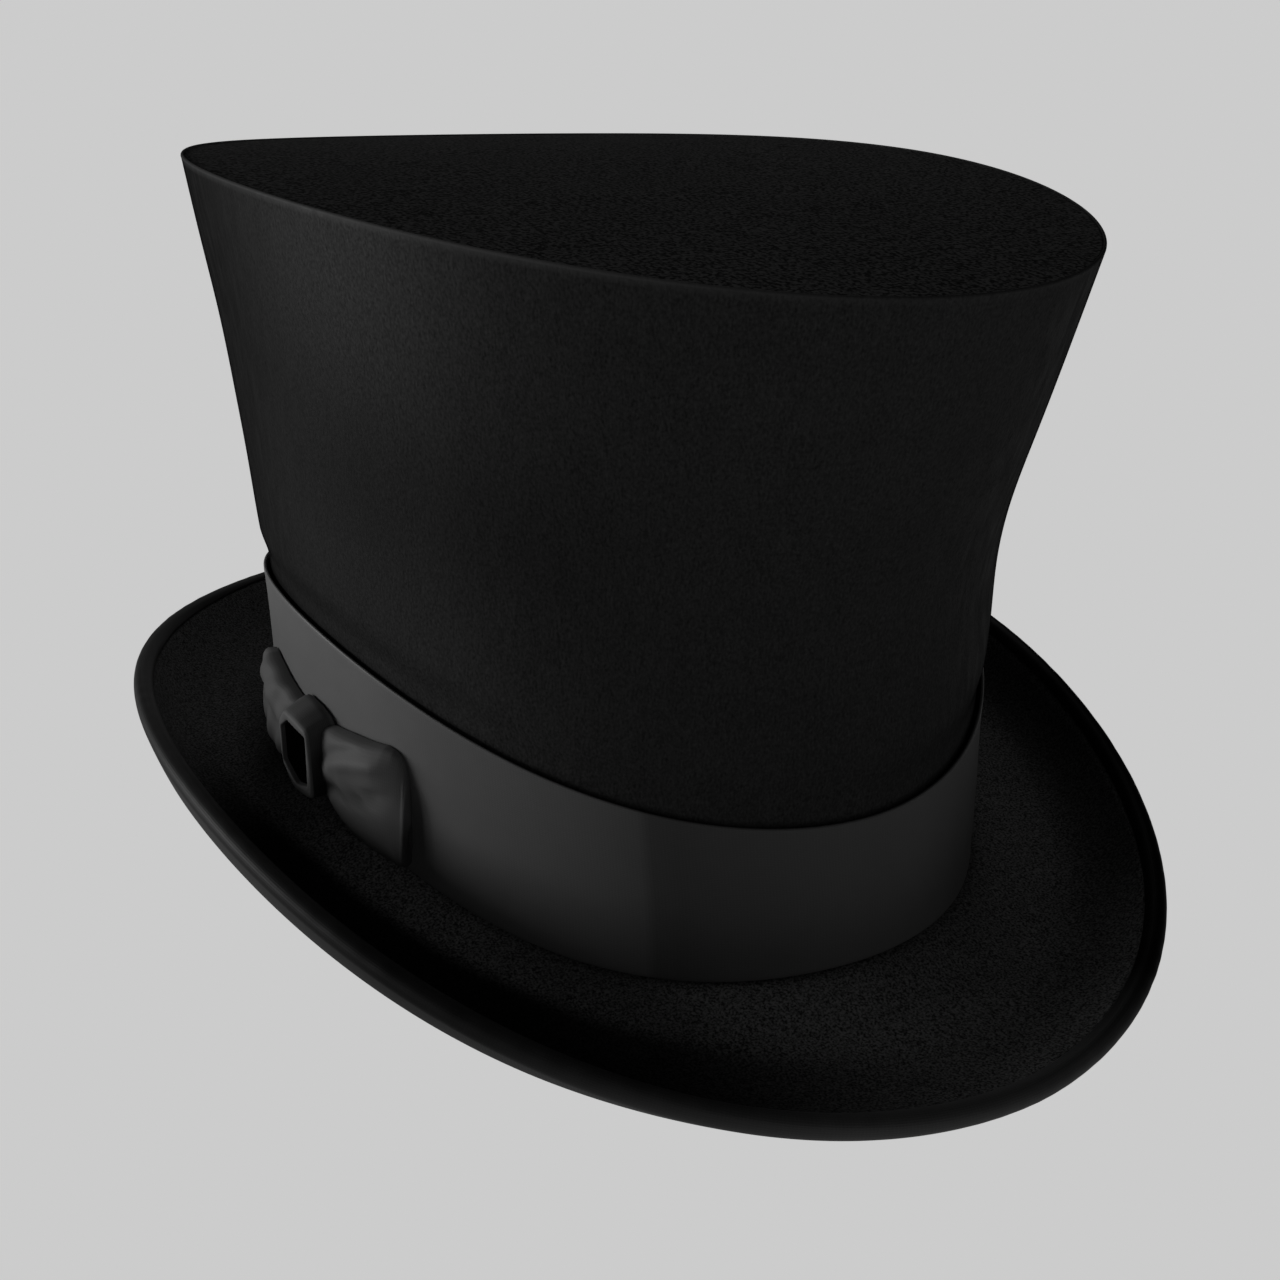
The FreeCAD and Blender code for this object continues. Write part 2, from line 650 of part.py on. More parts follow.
# ---- stitches that hold the binding along the brim's under side
sti = []
NB = 110
for i in range(NB):
    th = 2 * math.pi * (i + 0.5) / NB
    p = brim_end(leg + sr + 0.15, total + sr + 0.05, th)
    q = brim_end(leg + sr + 0.15, total + sr + 0.05, th + 1e-3)
    d = q - p
    d.normalize()
    sti.append(bar(p - d * (sl / 2), p + d * (sl / 2), sr))
parts.append(feature("binding_stitches", Part.makeCompound(sti)))

# ---------------------------------------------------------------- checks, export
doc.recompute()
bad = [o.Name for o in doc.Objects if any(s in ("Invalid", "Error") for s in o.State)]
if bad:
    raise RuntimeError("failed objects: " + ", ".join(bad))
for o in parts:
    s = o.Shape
    if s.isNull() or not s.isValid() or s.Volume <= 0:
        raise RuntimeError("bad shape: %s null=%s valid=%s vol=%s" % (o.Label, s.isNull(), s.isValid(), s.Volume))
    bb = s.optimalBoundingBox(False, False)
    print("%-20s solids %3d vol %9.1f  x %7.2f %7.2f  y %7.2f %7.2f  z %7.2f %7.2f" % (
        o.Label, len(s.Solids), s.Volume, bb.XMin, bb.XMax, bb.YMin, bb.YMax, bb.ZMin, bb.ZMax))
for o in parts:
    o.Shape.exportStep("parts/%s.step" % o.Label)
print("exported", len(parts))
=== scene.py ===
import bpy
import json
import math
import numpy as np
from mathutils import Matrix, Vector


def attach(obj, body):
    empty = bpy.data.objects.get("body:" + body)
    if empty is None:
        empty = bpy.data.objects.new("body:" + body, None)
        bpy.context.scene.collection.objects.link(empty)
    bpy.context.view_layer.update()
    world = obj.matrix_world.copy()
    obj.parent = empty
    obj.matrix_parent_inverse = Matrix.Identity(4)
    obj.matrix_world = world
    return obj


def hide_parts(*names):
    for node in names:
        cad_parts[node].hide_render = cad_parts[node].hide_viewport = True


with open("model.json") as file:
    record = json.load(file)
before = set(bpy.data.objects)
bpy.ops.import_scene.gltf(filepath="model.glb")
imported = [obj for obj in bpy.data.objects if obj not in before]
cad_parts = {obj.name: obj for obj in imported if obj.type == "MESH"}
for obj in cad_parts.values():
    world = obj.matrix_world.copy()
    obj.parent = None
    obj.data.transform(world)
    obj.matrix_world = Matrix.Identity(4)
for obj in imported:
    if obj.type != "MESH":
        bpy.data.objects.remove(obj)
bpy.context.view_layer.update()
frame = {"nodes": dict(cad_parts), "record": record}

NODES = frame["nodes"]
PI = math.pi
TAU = 2 * math.pi

# =====================================================================
# The hat's form, in millimetres, as the CAD source defines it
# =====================================================================
LEVELS = np.array([7.74, 28.24, 47.7, 63.1, 79.5, 95.9, 114.3, 132.8, 151.2])
WIDE = np.array([82.8, 83.2, 84.6, 86.1, 87.5, 88.9, 90.5, 92.9, 95.1])
LONG = np.array([111.7, 109.3, 105.8, 104.6, 102.6, 103.9, 109.1, 114.1, 118.8])
POWER_BASE, POWER_TIP, POWER_BRIM = 1.93, 1.97, 1.873
LOW, BAND_TOP, RIM = 9.48, 48.8, 150.9
DIP = [4.3, 10.8, 3.5]
WAVE = [2.95, 1.46, 0.15]
LEAN = 3.5
TIP_DOME = 2.5
BRIM_W, BRIM_L, BRIM_WAVE = 114.6, 158.3, -0.0145
EDGE, EDGE_DIP, EDGE_WAVE, EDGE_TILT = 16.15, 10.64, 1.4, -1.6
TROUGH, TROUGH_DIP, TROUGH_WAVE, TROUGH_AT = 6.85, 4.3, 1.7, 0.42
ROLL, ROLL_CHANGE = 3.4, 0.9
FELT, CORE, UNDER, GAP = 0.8, 1.9, 0.7, 0.1
TOTAL = FELT + GAP + CORE + GAP + UNDER
RIBBON, BAND_STAND, BAND_THICK = 0.5, 0.76, 0.8
NECK, COVER, SHELL = 1.0, 0.7, 2.2
LEG = 8.0


def natural(xs, ys):
    n = len(xs)
    h = np.diff(xs)
    a, r = np.zeros((n, n)), np.zeros(n)
    a[0, 0] = a[-1, -1] = 1
    for i in range(1, n - 1):
        a[i, i - 1], a[i, i], a[i, i + 1] = h[i - 1], 2 * (h[i - 1] + h[i]), h[i]
        r[i] = 3 * ((ys[i + 1] - ys[i]) / h[i] - (ys[i] - ys[i - 1]) / h[i - 1])
    c = np.linalg.solve(a, r)

    def f(x):
        x = np.asarray(x, float)
        j = np.clip(np.searchsorted(xs, x) - 1, 0, n - 2)
        b = (ys[j + 1] - ys[j]) / h[j] - h[j] * (c[j + 1] + 2 * c[j]) / 3
        d = (c[j + 1] - c[j]) / (3 * h[j])
        u = x - xs[j]
        return ys[j] + b * u + c[j] * u * u + d * u ** 3
    return f


half_wide, half_long = natural(LEVELS, WIDE), natural(LEVELS, LONG)


def oval(a, b, n, th):
    c, s = np.cos(th), np.sin(th)
    return a * np.sign(c) * np.abs(c) ** (2 / n), b * np.sign(s) * np.abs(s) ** (2 / n)


def crown(level, off, th):
    """Points of the crown at a level, moved out by off."""
    level, off, th = np.broadcast_arrays(np.asarray(level, float), np.asarray(off, float),
                                         np.asarray(th, float))
    knots = [LOW, BAND_TOP, RIM]
    dip, wave = np.interp(level, knots, DIP), np.interp(level, knots, WAVE)
    n = np.interp(level, knots, [POWER_BASE, POWER_BASE, POWER_TIP])
    x, y = oval(half_wide(level) + off, half_long(level) + off, n, th)
    y = y + LEAN * np.interp(level, [BAND_TOP, RIM], [0, 1])
    return np.stack([x, y, level + dip * np.cos(2 * th) + wave * np.cos(4 * th)], -1)


def at_height(z, off, th):
    """Points of the crown at a true height z."""
    z, off, th = np.broadcast_arrays(np.asarray(z, float), np.asarray(off, float),
                                     np.asarray(th, float))
    level = z.copy()
    for _ in range(8):
        level = level + (z - crown(level, off, th)[..., 2])
    return crown(level, off, th)


def neck(level):
    u = np.clip((np.asarray(level, float) - (BAND_TOP + 4.0)) / 8.0, 0, 1)
    return -NECK * (1 - u * u * (3 - 2 * u))


def band_height(th):
    return LOW + DIP[0] * np.cos(2 * th) + WAVE[0] * np.cos(4 * th)


def brim_top(t, th):
    t, th = np.broadcast_arrays(np.asarray(t, float), np.asarray(th, float))
    a0, b0 = half_wide(LOW), half_long(LOW)
    x, y = oval(a0 + (BRIM_W - a0) * t, b0 + (BRIM_L - b0) * t,
                POWER_BASE + (POWER_BRIM - POWER_BASE) * t, th)
    swell = 1 + BRIM_WAVE * t * np.cos(4 * th)
    c2, c4 = np.cos(2 * th), np.cos(4 * th)
    zb = band_height(th) - 0.4
    zv = TROUGH + TROUGH_DIP * c2 + TROUGH_WAVE * c4
    zc = EDGE + EDGE_DIP * c2 + EDGE_WAVE * c4 + EDGE_TILT * np.sin(th)
    u = np.clip((t - TROUGH_AT) / (1 - TROUGH_AT), 0, None)
    z = np.where(t < TROUGH_AT,
                 zv + (zb - zv) * 0.5 * (1 + np.cos(PI * np.clip(t, 0, None) / TROUGH_AT)),
                 zv + (zc - zv) * u ** (ROLL + ROLL_CHANGE * c2))
    return np.stack([x * swell, y * swell, z], -1)


def unit(v):
    return v / np.maximum(np.linalg.norm(v, axis=-1, keepdims=True), 1e-12)


def brim_frame(t, th):
    e = 1e-4
    t, th = np.broadcast_arrays(np.asarray(t, float), np.asarray(th, float))
    t0, t1 = np.maximum(t - e, 0), np.minimum(t + e, 1)
    across = brim_top(t1, th) - brim_top(t0, th)
    speed = np.linalg.norm(across, axis=-1) / (t1 - t0)
    across = unit(across)
    along = unit(brim_top(t, th + e) - brim_top(t, th - e))
    down = unit(np.cross(along, across))
    down = np.where((t <= 0)[..., None], np.array([0, 0, -1.0]), down)
    return across, down, speed


def brim(t, depth, th):
    return brim_top(t, th) + brim_frame(t, th)[1] * np.asarray(depth, float)[..., None]


def brim_end(back, depth, th):
    speed = brim_frame(1.0, th)[2]
    return brim(1.0 - back / speed, depth, th)


def edge_round(radius, angle, th):
    """Point round the brim's edge: angle 0 on the upper face, pi on the lower."""
    across, down, _ = brim_frame(1.0, th)
    centre = brim_end(0.0, TOTAL / 2, th)
    return centre + down * (-radius * math.cos(angle)) + across * (radius * math.sin(angle))


# =====================================================================
# Mesh helpers
# =====================================================================
rng = np.random.default_rng(57)


def ring(count):
    return np.linspace(0, TAU, count, endpoint=False)


def bump_at(x, centre, width):
    return np.exp(-((x - centre) / width) ** 2)


def waves(th, seed, terms, low=2, high=40):
    """Smooth closed random line of unit size, made of sine terms."""
    r = np.random.default_rng(seed)
    out = np.zeros_like(th)
    for _ in range(terms):
        k = r.integers(low, high)
        out += np.sin(k * th + r.uniform(0, TAU)) * r.uniform(0.3, 1.0)
    return out / math.sqrt(terms) * 1.2


def mesh_object(name, verts, faces, uvs=None, material=None, smooth=True):
    """verts in millimetres; faces a list of index lists; uvs one pair per corner, in metres."""
    me = bpy.data.meshes.new(name)
    verts = np.asarray(verts, np.float64) * 0.001
    sizes = np.array([len(f) for f in faces], np.int32)
    flat = np.concatenate([np.asarray(f, np.int32) for f in faces]) if not isinstance(faces, np.ndarray) \
        else faces.reshape(-1).astype(np.int32)
    me.vertices.add(len(verts))
    me.vertices.foreach_set("co", verts.astype(np.float32).reshape(-1))
    me.loops.add(len(flat))
    me.loops.foreach_set("vertex_index", flat)
    me.polygons.add(len(sizes))
    starts = np.concatenate([[0], np.cumsum(sizes)[:-1]]).astype(np.int32)
    me.polygons.foreach_set("loop_start", starts)
    me.polygons.foreach_set("loop_total", sizes)
    me.update(calc_edges=True)
    me.polygons.foreach_set("use_smooth", np.full(len(sizes), smooth, bool))
    if uvs is not None:
        layer = me.uv_layers.new(name="cloth")
        layer.data.foreach_set("uv", np.asarray(uvs, np.float32).reshape(-1))
    me.validate()
    ob = bpy.data.objects.new(name, me)
    bpy.context.scene.collection.objects.link(ob)
    if material:
        me.materials.append(material)
    return ob


def volume(p, quads):
    a, b, c, d = (p[quads[:, i]] for i in range(4))
    return ((a * np.cross(b, c)).sum() + (a * np.cross(c, d)).sum()) / 6


def lofted(name, rows, material, closed_section=True, cap_start=None, cap_end=None,
           around_closed=True):
    """A surface through rows of points. Each row runs round (closed) and the
    section may close on itself.  cap_start and cap_end are single points."""
    rows = np.asarray(rows)
    nv, nu = rows.shape[:2]
    pts = rows.reshape(-1, 3)
    iv = np.arange(nv if closed_section else nv - 1)
    iu = np.arange(nu if around_closed else nu - 1)
    jv, ju = (iv + 1) % nv, (iu + 1) % nu
    q = np.stack([
        iv[:, None] * nu + iu[None], iv[:, None] * nu + ju[None],
        jv[:, None] * nu + ju[None], jv[:, None] * nu + iu[None]], -1).reshape(-1, 4)
    # arc lengths give the cloth coordinates
    nxt = np.roll(rows, -1, 1)
    du = np.linalg.norm(nxt - rows, axis=2).mean(0)
    su = np.concatenate([[0], np.cumsum(du)])
    dv = np.linalg.norm(np.roll(rows, -1, 0) - rows, axis=2).mean(1)
    sv = np.concatenate([[0], np.cumsum(dv)])
    u0, u1 = su[iu], su[iu + 1]
    v0, v1 = sv[iv], sv[iv + 1]
    one = np.ones((len(iv), len(iu)))
    uv = np.stack([
        np.stack([u0[None] * one, v0[:, None] * one], -1),
        np.stack([u1[None] * one, v0[:, None] * one], -1),
        np.stack([u1[None] * one, v1[:, None] * one], -1),
        np.stack([u0[None] * one, v1[:, None] * one], -1)], 2).reshape(-1, 4, 2) * 0.001
    faces = [list(f) for f in q]
    uvs = [uv.reshape(-1, 2)]
    verts = [pts]
    extra = []
    n = len(pts)
    for cap, row, flip in ((cap_start, 0, True), (cap_end, nv - 1, False)):
        if cap is None:
            continue
        verts.append(np.asarray(cap, float)[None])
        base = row * nu
        for i in range(nu):
            j = (i + 1) % nu
            f = [base + j, base + i, n] if flip else [base + i, base + j, n]
            extra.append(f)
            pv = np.array([pts[base + (j if flip else i)], pts[base + (i if flip else j)],
                           np.asarray(cap, float)])
            uvs.append(pv[:, :2] * 0.001)
        n += 1
    verts = np.concatenate(verts)
    faces += extra
    # outward facing
    vol = volume(verts, q)
    for f in extra:
        a, b, c = verts[f[0]], verts[f[1]], verts[f[2]]
        vol += float(np.dot(a, np.cross(b, c))) / 6
    uvs = np.concatenate(uvs)
    if vol < 0:
        new_uv, k = [], 0
        for f in faces:
            new_uv.append(uvs[k:k + len(f)][::-1])
            k += len(f)
            f.reverse()
        uvs = np.concatenate(new_uv)
    return mesh_object(name, verts, faces, uvs, material)


def finish_piece(ob, replaces=()):
    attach(ob, "root")
    if replaces:
        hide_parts(*replaces)
    return ob


def surface_mm2(ob):
    """Area of a mesh's faces, in square metres."""
    return sum(p.area for p in ob.data.polygons)


# =====================================================================
# Materials
# =====================================================================
class Nodes:
    """Short calls for a material's node tree."""

    def __init__(self, name):
        self.m = bpy.data.materials.new(name)
        self.m.use_nodes = True
        self.t = self.m.node_tree
        self.b = self.t.nodes["Principled BSDF"]
        self.out = self.t.nodes["Material Output"]
        self.coord = self.t.nodes.new("ShaderNodeTexCoord")

    def n(self, kind, **kw):
        node = self.t.nodes.new(kind)
        for k, v in kw.items():
            if k.startswith("in_"):
                node.inputs[k[3:].replace("_", " ")].default_value = v
            else:
                setattr(node, k, v)
        return node

    def link(self, a, b):
        self.t.links.new(a, b)

    def set(self, **kw):
        for k, v in kw.items():
            self.b.inputs[k.replace("_", " ")].default_value = v

    def vec(self, scale=(1, 1, 1), source="Object", rotation=(0, 0, 0)):
        mp = self.n("ShaderNodeMapping")
        mp.inputs["Scale"].default_value = scale
        mp.inputs["Rotation"].default_value = rotation
        self.link(self.coord.outputs[source], mp.inputs["Vector"])
        return mp.outputs["Vector"]

    def noise(self, vector, scale, detail=2.0, rough=0.5, distortion=0.0):
        t = self.n("ShaderNodeTexNoise")
        t.inputs["Scale"].default_value = scale
        t.inputs["Detail"].default_value = detail
        t.inputs["Roughness"].default_value = rough
        t.inputs["Distortion"].default_value = distortion
        self.link(vector, t.inputs["Vector"])
        return t.outputs["Fac"]

    def wave(self, vector, scale, axis="X", distortion=0.0, profile="SIN", detail=0.0, dscale=1.0):
        t = self.n("ShaderNodeTexWave", wave_type="BANDS", bands_direction=axis, wave_profile=profile)
        t.inputs["Scale"].default_value = scale
        t.inputs["Distortion"].default_value = distortion
        t.inputs["Detail"].default_value = detail
        t.inputs["Detail Scale"].default_value = dscale
        self.link(vector, t.inputs["Vector"])
        return t.outputs["Fac"]

    def math(self, op, a, b=None, clamp=False):
        t = self.n("ShaderNodeMath", operation=op, use_clamp=clamp)
        for i, v in enumerate((a, b)):
            if v is None:
                continue
            if isinstance(v, (int, float)):
                t.inputs[i].default_value = v
            else:
                self.link(v, t.inputs[i])
        return t.outputs[0]

    def ramp(self, fac, stops):
        t = self.n("ShaderNodeValToRGB")
        el = t.color_ramp.elements
        while len(el) < len(stops):
            el.new(0.5)
        for e, (p, c) in zip(el, stops):
            e.position = p
            e.color = (*c, 1) if len(c) == 3 else c
        self.link(fac, t.inputs["Fac"])
        return t.outputs["Color"]

    def remap(self, fac, lo, hi, a=0.0, b=1.0):
        t = self.n("ShaderNodeMapRange")
        t.inputs["From Min"].default_value = a
        t.inputs["From Max"].default_value = b
        t.inputs["To Min"].default_value = lo
        t.inputs["To Max"].default_value = hi
        self.link(fac, t.inputs["Value"])
        return t.outputs["Result"]

    def mix(self, fac, a, b, blend="MIX"):
        t = self.n("ShaderNodeMix", data_type="RGBA", blend_type=blend)
        if isinstance(fac, (int, float)):
            t.inputs[0].default_value = fac
        else:
            self.link(fac, t.inputs[0])
        for i, v in ((6, a), (7, b)):
            if isinstance(v, tuple):
                t.inputs[i].default_value = (*v, 1) if len(v) == 3 else v
            else:
                self.link(v, t.inputs[i])
        return t.outputs[2]

    def bump(self, height, strength, distance, normal=None):
        t = self.n("ShaderNodeBump")
        t.inputs["Strength"].default_value = strength
        t.inputs["Distance"].default_value = distance
        self.link(height, t.inputs["Height"])
        if normal is not None:
            self.link(normal, t.inputs["Normal"])
        return t.outputs["Normal"]

    def colour(self, socket):
        self.link(socket, self.b.inputs["Base Color"])

    def rough(self, socket):
        self.link(socket, self.b.inputs["Roughness"])

    def normal(self, socket):
        self.link(socket, self.b.inputs["Normal"])


def grey(v, warm=0.0):
    return (v * (1 + warm), v, v * (1 - warm))


def felt_material(name, dark, light, grain_mm=0.42, sheen=0.01, grain=1.0, spread=0.14):
    """Short-napped fur felt: salt and pepper fibre ends, soft mottling, a faint bloom."""
    m = Nodes(name)
    m.set(Specular_IOR_Level=0.05, Roughness=0.95, Sheen_Weight=sheen, Sheen_Roughness=0.6)
    m.b.inputs["Sheen Tint"].default_value = (0.3, 0.3, 0.3, 1)
    fine = m.noise(m.vec(), 1000.0 / grain_mm, 1.0, 0.5)
    fibre = m.noise(m.vec((1, 0.5, 0.7), rotation=(0.4, 0.9, 0.6)), 1500.0, 1.0, 0.5, 0.4)
    mott = m.noise(m.vec(), 85.0, 3.0, 0.55)
    broad = m.noise(m.vec(), 14.0, 2.0, 0.5)
    grain_v = m.math("ADD", m.math("MULTIPLY", fine, 0.75), m.math("MULTIPLY", fibre, 0.25))
    pepper = m.remap(grain_v, 0.0, 1.0, 0.5 - spread, 0.5 + spread)
    shade = m.math("ADD", m.math("MULTIPLY", pepper, 0.92),
                   m.math("MULTIPLY", m.remap(mott, 0, 1, 0.3, 0.7), 0.05))
    shade = m.math("ADD", shade, m.math("MULTIPLY", m.remap(broad, 0, 1, 0.3, 0.7), 0.03), True)
    mid = tuple((a + b) / 2 for a, b in zip(dark, light))
    pile = m.ramp(shade, [(0.0, dark), (0.5, mid), (1.0, light)])
    # painted shade: the felt's colour is mixed towards black by a per-point attribute, set only on the brim
    painted_shade_node = m.n("ShaderNodeAttribute", attribute_name="painted_brim_shade")
    m.colour(m.mix(painted_shade_node.outputs["Fac"], pile, (0.0, 0.0, 0.0)))
    m.rough(m.remap(grain_v, 0.84, 0.98, 0.3, 0.7))
    b1 = m.bump(mott, 0.12, 0.0006)
    m.normal(m.bump(grain_v, 0.5 * grain, 0.00022, b1))
    return m.m


def plush_material(name, dark, light):
    """Brushed plush on the crown: a long upright nap that catches light in streaks."""
    m = Nodes(name)
    m.set(Specular_IOR_Level=0.08, Roughness=0.6, Sheen_Weight=0.01, Sheen_Roughness=0.4,
          Anisotropic=0.45, Anisotropic_Rotation=0.25)
    m.b.inputs["Sheen Tint"].default_value = (0.4, 0.4, 0.4, 1)
    grain = m.noise(m.vec((1, 1, 0.8)), 1900.0, 1.0, 0.5)
    hair = m.noise(m.vec((1, 1, 0.3)), 2300.0, 1.0, 0.5)
    lock = m.noise(m.vec((1, 1, 0.25)), 420.0, 2.0, 0.5, 0.2)
    tuft = m.noise(m.vec((1, 1, 0.5)), 150.0, 2.0, 0.5)
    broad = m.noise(m.vec((1, 1, 0.7)), 16.0, 2.0, 0.5)
    body = m.math("ADD", m.math("MULTIPLY", grain, 0.5), m.math("MULTIPLY", hair, 0.3))
    body = m.math("ADD", body, m.math("MULTIPLY", lock, 0.13))
    body = m.math("ADD", body, m.math("MULTIPLY", tuft, 0.07))
    shade = m.math("ADD", m.math("MULTIPLY", m.remap(body, 0, 1, 0.31, 0.69), 0.93),
                   m.math("MULTIPLY", m.remap(broad, 0, 1, 0.3, 0.7), 0.07), True)
    mid = tuple((a + b) / 2 for a, b in zip(dark, light))
    pile = m.ramp(shade, [(0.0, dark), (0.5, mid), (1.0, light)])
    # painted shade: the plush's colour is darkened where the surface turns edge-on to the view, and its specular is
    # eased off there
    lw = m.n("ShaderNodeLayerWeight", in_Blend=0.5)
    side_on = m.remap(lw.outputs["Facing"], 0.0, 1.0, 0.3, 0.95)
    painted_graze_shade = m.math("MULTIPLY", side_on, 0.6, True)
    m.link(m.math("MULTIPLY", m.math("SUBTRACT", 1.0, side_on, True), 0.08), m.b.inputs["Specular IOR Level"])
    pile = m.mix(painted_graze_shade, pile, (0.0, 0.0, 0.0))
    # painted highlight and painted shade: a per-point attribute scales the plush's colour up or down
    painted_light_shade_node = m.n("ShaderNodeAttribute", attribute_name="painted_light_shade")
    gain = m.math("ADD", 1.0, painted_light_shade_node.outputs["Fac"])
    scaled = m.n("ShaderNodeVectorMath", operation="SCALE")
    m.link(pile, scaled.inputs[0])
    m.link(gain, scaled.inputs["Scale"])
    pile = scaled.outputs[0]
    # painted highlight: the rolled top edge is mixed towards a colour brighter than the plush
    edge = m.n("ShaderNodeAttribute", attribute_name="edge")
    m.colour(m.mix(m.math("MULTIPLY", edge.outputs["Fac"], 0.85), pile, tuple(1.9 * v for v in light)))
    m.rough(m.remap(lock, 0.52, 0.7, 0.3, 0.7))
    b1 = m.bump(tuft, 0.10, 0.0006)
    m.normal(m.bump(body, 0.35, 0.00025, b1))
    return m.m


def satin_material(name, dark, light, rib_mm=0.0, across=False, rough=0.42, spec=0.2, sheen=0.0,
                   weave=0.22):
    """Ribbon satin: fine warp lines with a rare slub, and cross ribs where it is grosgrain.
    Its coordinates are the cloth's own, in metres."""
    m = Nodes(name)
    m.set(Specular_IOR_Level=spec, Roughness=rough, Sheen_Weight=sheen, Sheen_Roughness=0.35)
    uv = m.vec(source="UV")
    warp_axis, weft_axis = ("X", "Y") if across else ("Y", "X")
    warp = m.wave(uv, 1000.0 / weave / TAU * 1.0, warp_axis, 1.2, detail=1.0, dscale=2.0)
    weft = m.wave(uv, 1000.0 / (weave * 1.6) / TAU, weft_axis, 1.0, detail=1.0, dscale=2.0)
    slub = m.noise(m.vec((0.05, 1, 1) if not across else (1, 0.05, 1), "UV"), 3200.0, 2.0, 0.6)
    mott = m.noise(m.vec(source="UV"), 160.0, 2.0, 0.5)
    thread = m.math("ADD", m.math("MULTIPLY", warp, 0.5), m.math("MULTIPLY", weft, 0.25))
    thread = m.math("ADD", thread, m.math("MULTIPLY", slub, 0.25))
    if rib_mm:
        rib = m.wave(uv, 1000.0 / rib_mm / TAU, weft_axis, 0.25, detail=1.0)
        thread = m.math("ADD", m.math("MULTIPLY", thread, 0.4), m.math("MULTIPLY", rib, 0.6))
    shade = m.math("ADD", m.math("MULTIPLY", thread, 0.75), m.math("MULTIPLY", mott, 0.25), True)
    mid = tuple((a + b) / 2 for a, b in zip(dark, light))
    # painted light: a per-point attribute scales the ribbon's colour and its specular up for painted highlights and
    # down for painted shade
    painted_light_node = m.n("ShaderNodeAttribute", attribute_name="painted_light_gain")
    scaled = m.n("ShaderNodeVectorMath", operation="SCALE")
    m.link(m.ramp(shade, [(0.15, dark), (0.5, mid), (0.85, light)]), scaled.inputs[0])
    gain = m.math("ADD", 1.0, painted_light_node.outputs["Fac"])
    m.link(gain, scaled.inputs["Scale"])
    m.colour(scaled.outputs[0])
    m.link(m.math("MINIMUM", m.math("MULTIPLY", gain, spec), 0.45), m.b.inputs["Specular IOR Level"])
    m.rough(m.remap(shade, rough - 0.06, rough + 0.08, 0.2, 0.8))
    m.normal(m.bump(thread, 0.25, 0.00012 if not rib_mm else 0.0002))
    return m.m


def leather_material(name):
    m = Nodes(name)
    m.set(Specular_IOR_Level=0.4, Roughness=0.5)
    co = m.vec()
    v = m.n("ShaderNodeTexVoronoi", feature="DISTANCE_TO_EDGE")
    v.inputs["Scale"].default_value = 1050.0
    m.link(co, v.inputs["Vector"])
    cell = m.remap(v.outputs["Distance"], 0, 1, 0.0, 0.22)
    pore = m.noise(co, 1500.0, 2.0, 0.6)
    mott = m.noise(co, 60.0, 3.0, 0.55)
    wear_and_painted_highlight = m.noise(co, 22.0, 3.0, 0.6)
    shade = m.math("ADD", m.math("MULTIPLY", mott, 0.6), m.math("MULTIPLY", wear_and_painted_highlight, 0.4))
    c = m.ramp(shade, [(0.3, (0.14, 0.058, 0.022)), (0.52, (0.24, 0.11, 0.046)), (0.72, (0.34, 0.175, 0.08))])
    c = m.mix(m.math("MULTIPLY", m.math("SUBTRACT", 1.0, cell), 0.35), c, (0.10, 0.042, 0.016))
    m.colour(c)
    m.rough(m.remap(wear_and_painted_highlight, 0.40, 0.62, 0.3, 0.7))
    h = m.math("ADD", m.math("MULTIPLY", cell, 0.7), m.math("MULTIPLY", pore, 0.3))
    m.normal(m.bump(h, 0.35, 0.00018))
    return m.m


def board_material(name):
    """Shellacked gossamer: an open muslin weave under amber shellac."""
    m = Nodes(name)
    m.set(Specular_IOR_Level=0.45, Roughness=0.4)
    a = m.wave(m.vec(), 1000.0 / 0.7 / TAU, "Z", 1.0, detail=1.0)
    b = m.wave(m.vec(), 1000.0 / 0.7 / TAU, "DIAGONAL", 1.0, detail=1.0)
    pool = m.noise(m.vec(), 55.0, 3.0, 0.55)
    w = m.math("MULTIPLY", a, b)
    shade = m.math("ADD", m.math("MULTIPLY", w, 0.4), m.math("MULTIPLY", pool, 0.6))
    m.colour(m.ramp(shade, [(0.2, (0.16, 0.10, 0.05)), (0.5, (0.33, 0.25, 0.15)), (0.8, (0.47, 0.39, 0.27))]))
    m.rough(m.remap(pool, 0.3, 0.55, 0.3, 0.7))
    m.normal(m.bump(w, 0.4, 0.0002))
    return m.m


def thread_material(name, dark, light):
    m = Nodes(name)
    m.set(Specular_IOR_Level=0.25, Roughness=0.7, Sheen_Weight=0.15)
    tw = m.wave(m.vec(rotation=(0.5, 0.6, 0.4)), 1000.0 / 0.22 / TAU, "DIAGONAL", 0.6)
    fz = m.noise(m.vec(), 3500.0, 2.0, 0.6)
    shade = m.math("ADD", m.math("MULTIPLY", tw, 0.7), m.math("MULTIPLY", fz, 0.3))
    m.colour(m.ramp(shade, [(0.2, dark), (0.8, light)]))
    m.rough(m.remap(fz, 0.6, 0.85, 0.3, 0.7))
    m.normal(m.bump(shade, 0.5, 0.00008))
    return m.m


def wire_material(name):
    m = Nodes(name)
    m.set(Metallic=1.0, Roughness=0.32)
    dr = m.noise(m.vec((1, 1, 1)), 900.0, 2.0, 0.5)
    m.colour(m.ramp(dr, [(0.3, (0.36, 0.36, 0.38)), (0.7, (0.52, 0.52, 0.54))]))
    m.rough(m.remap(dr, 0.25, 0.45, 0.3, 0.7))
    m.normal(m.bump(dr, 0.15, 0.00005))
    return m.m


# painted shade: a near-black, matt colour for the floor of the keeper's hollow, standing in for the shade inside it
def hollow_shade_black(name):
    m = Nodes(name)
    m.set(Specular_IOR_Level=0.0, Roughness=1.0, Sheen_Weight=0.0)
    f = m.noise(m.vec(), 2600.0, 2.0, 0.6)
    m.colour(m.ramp(f, [(0.35, grey(0.0001)), (0.65, grey(0.0012))]))
    m.normal(m.bump(f, 0.4, 0.00015))
    return m.m


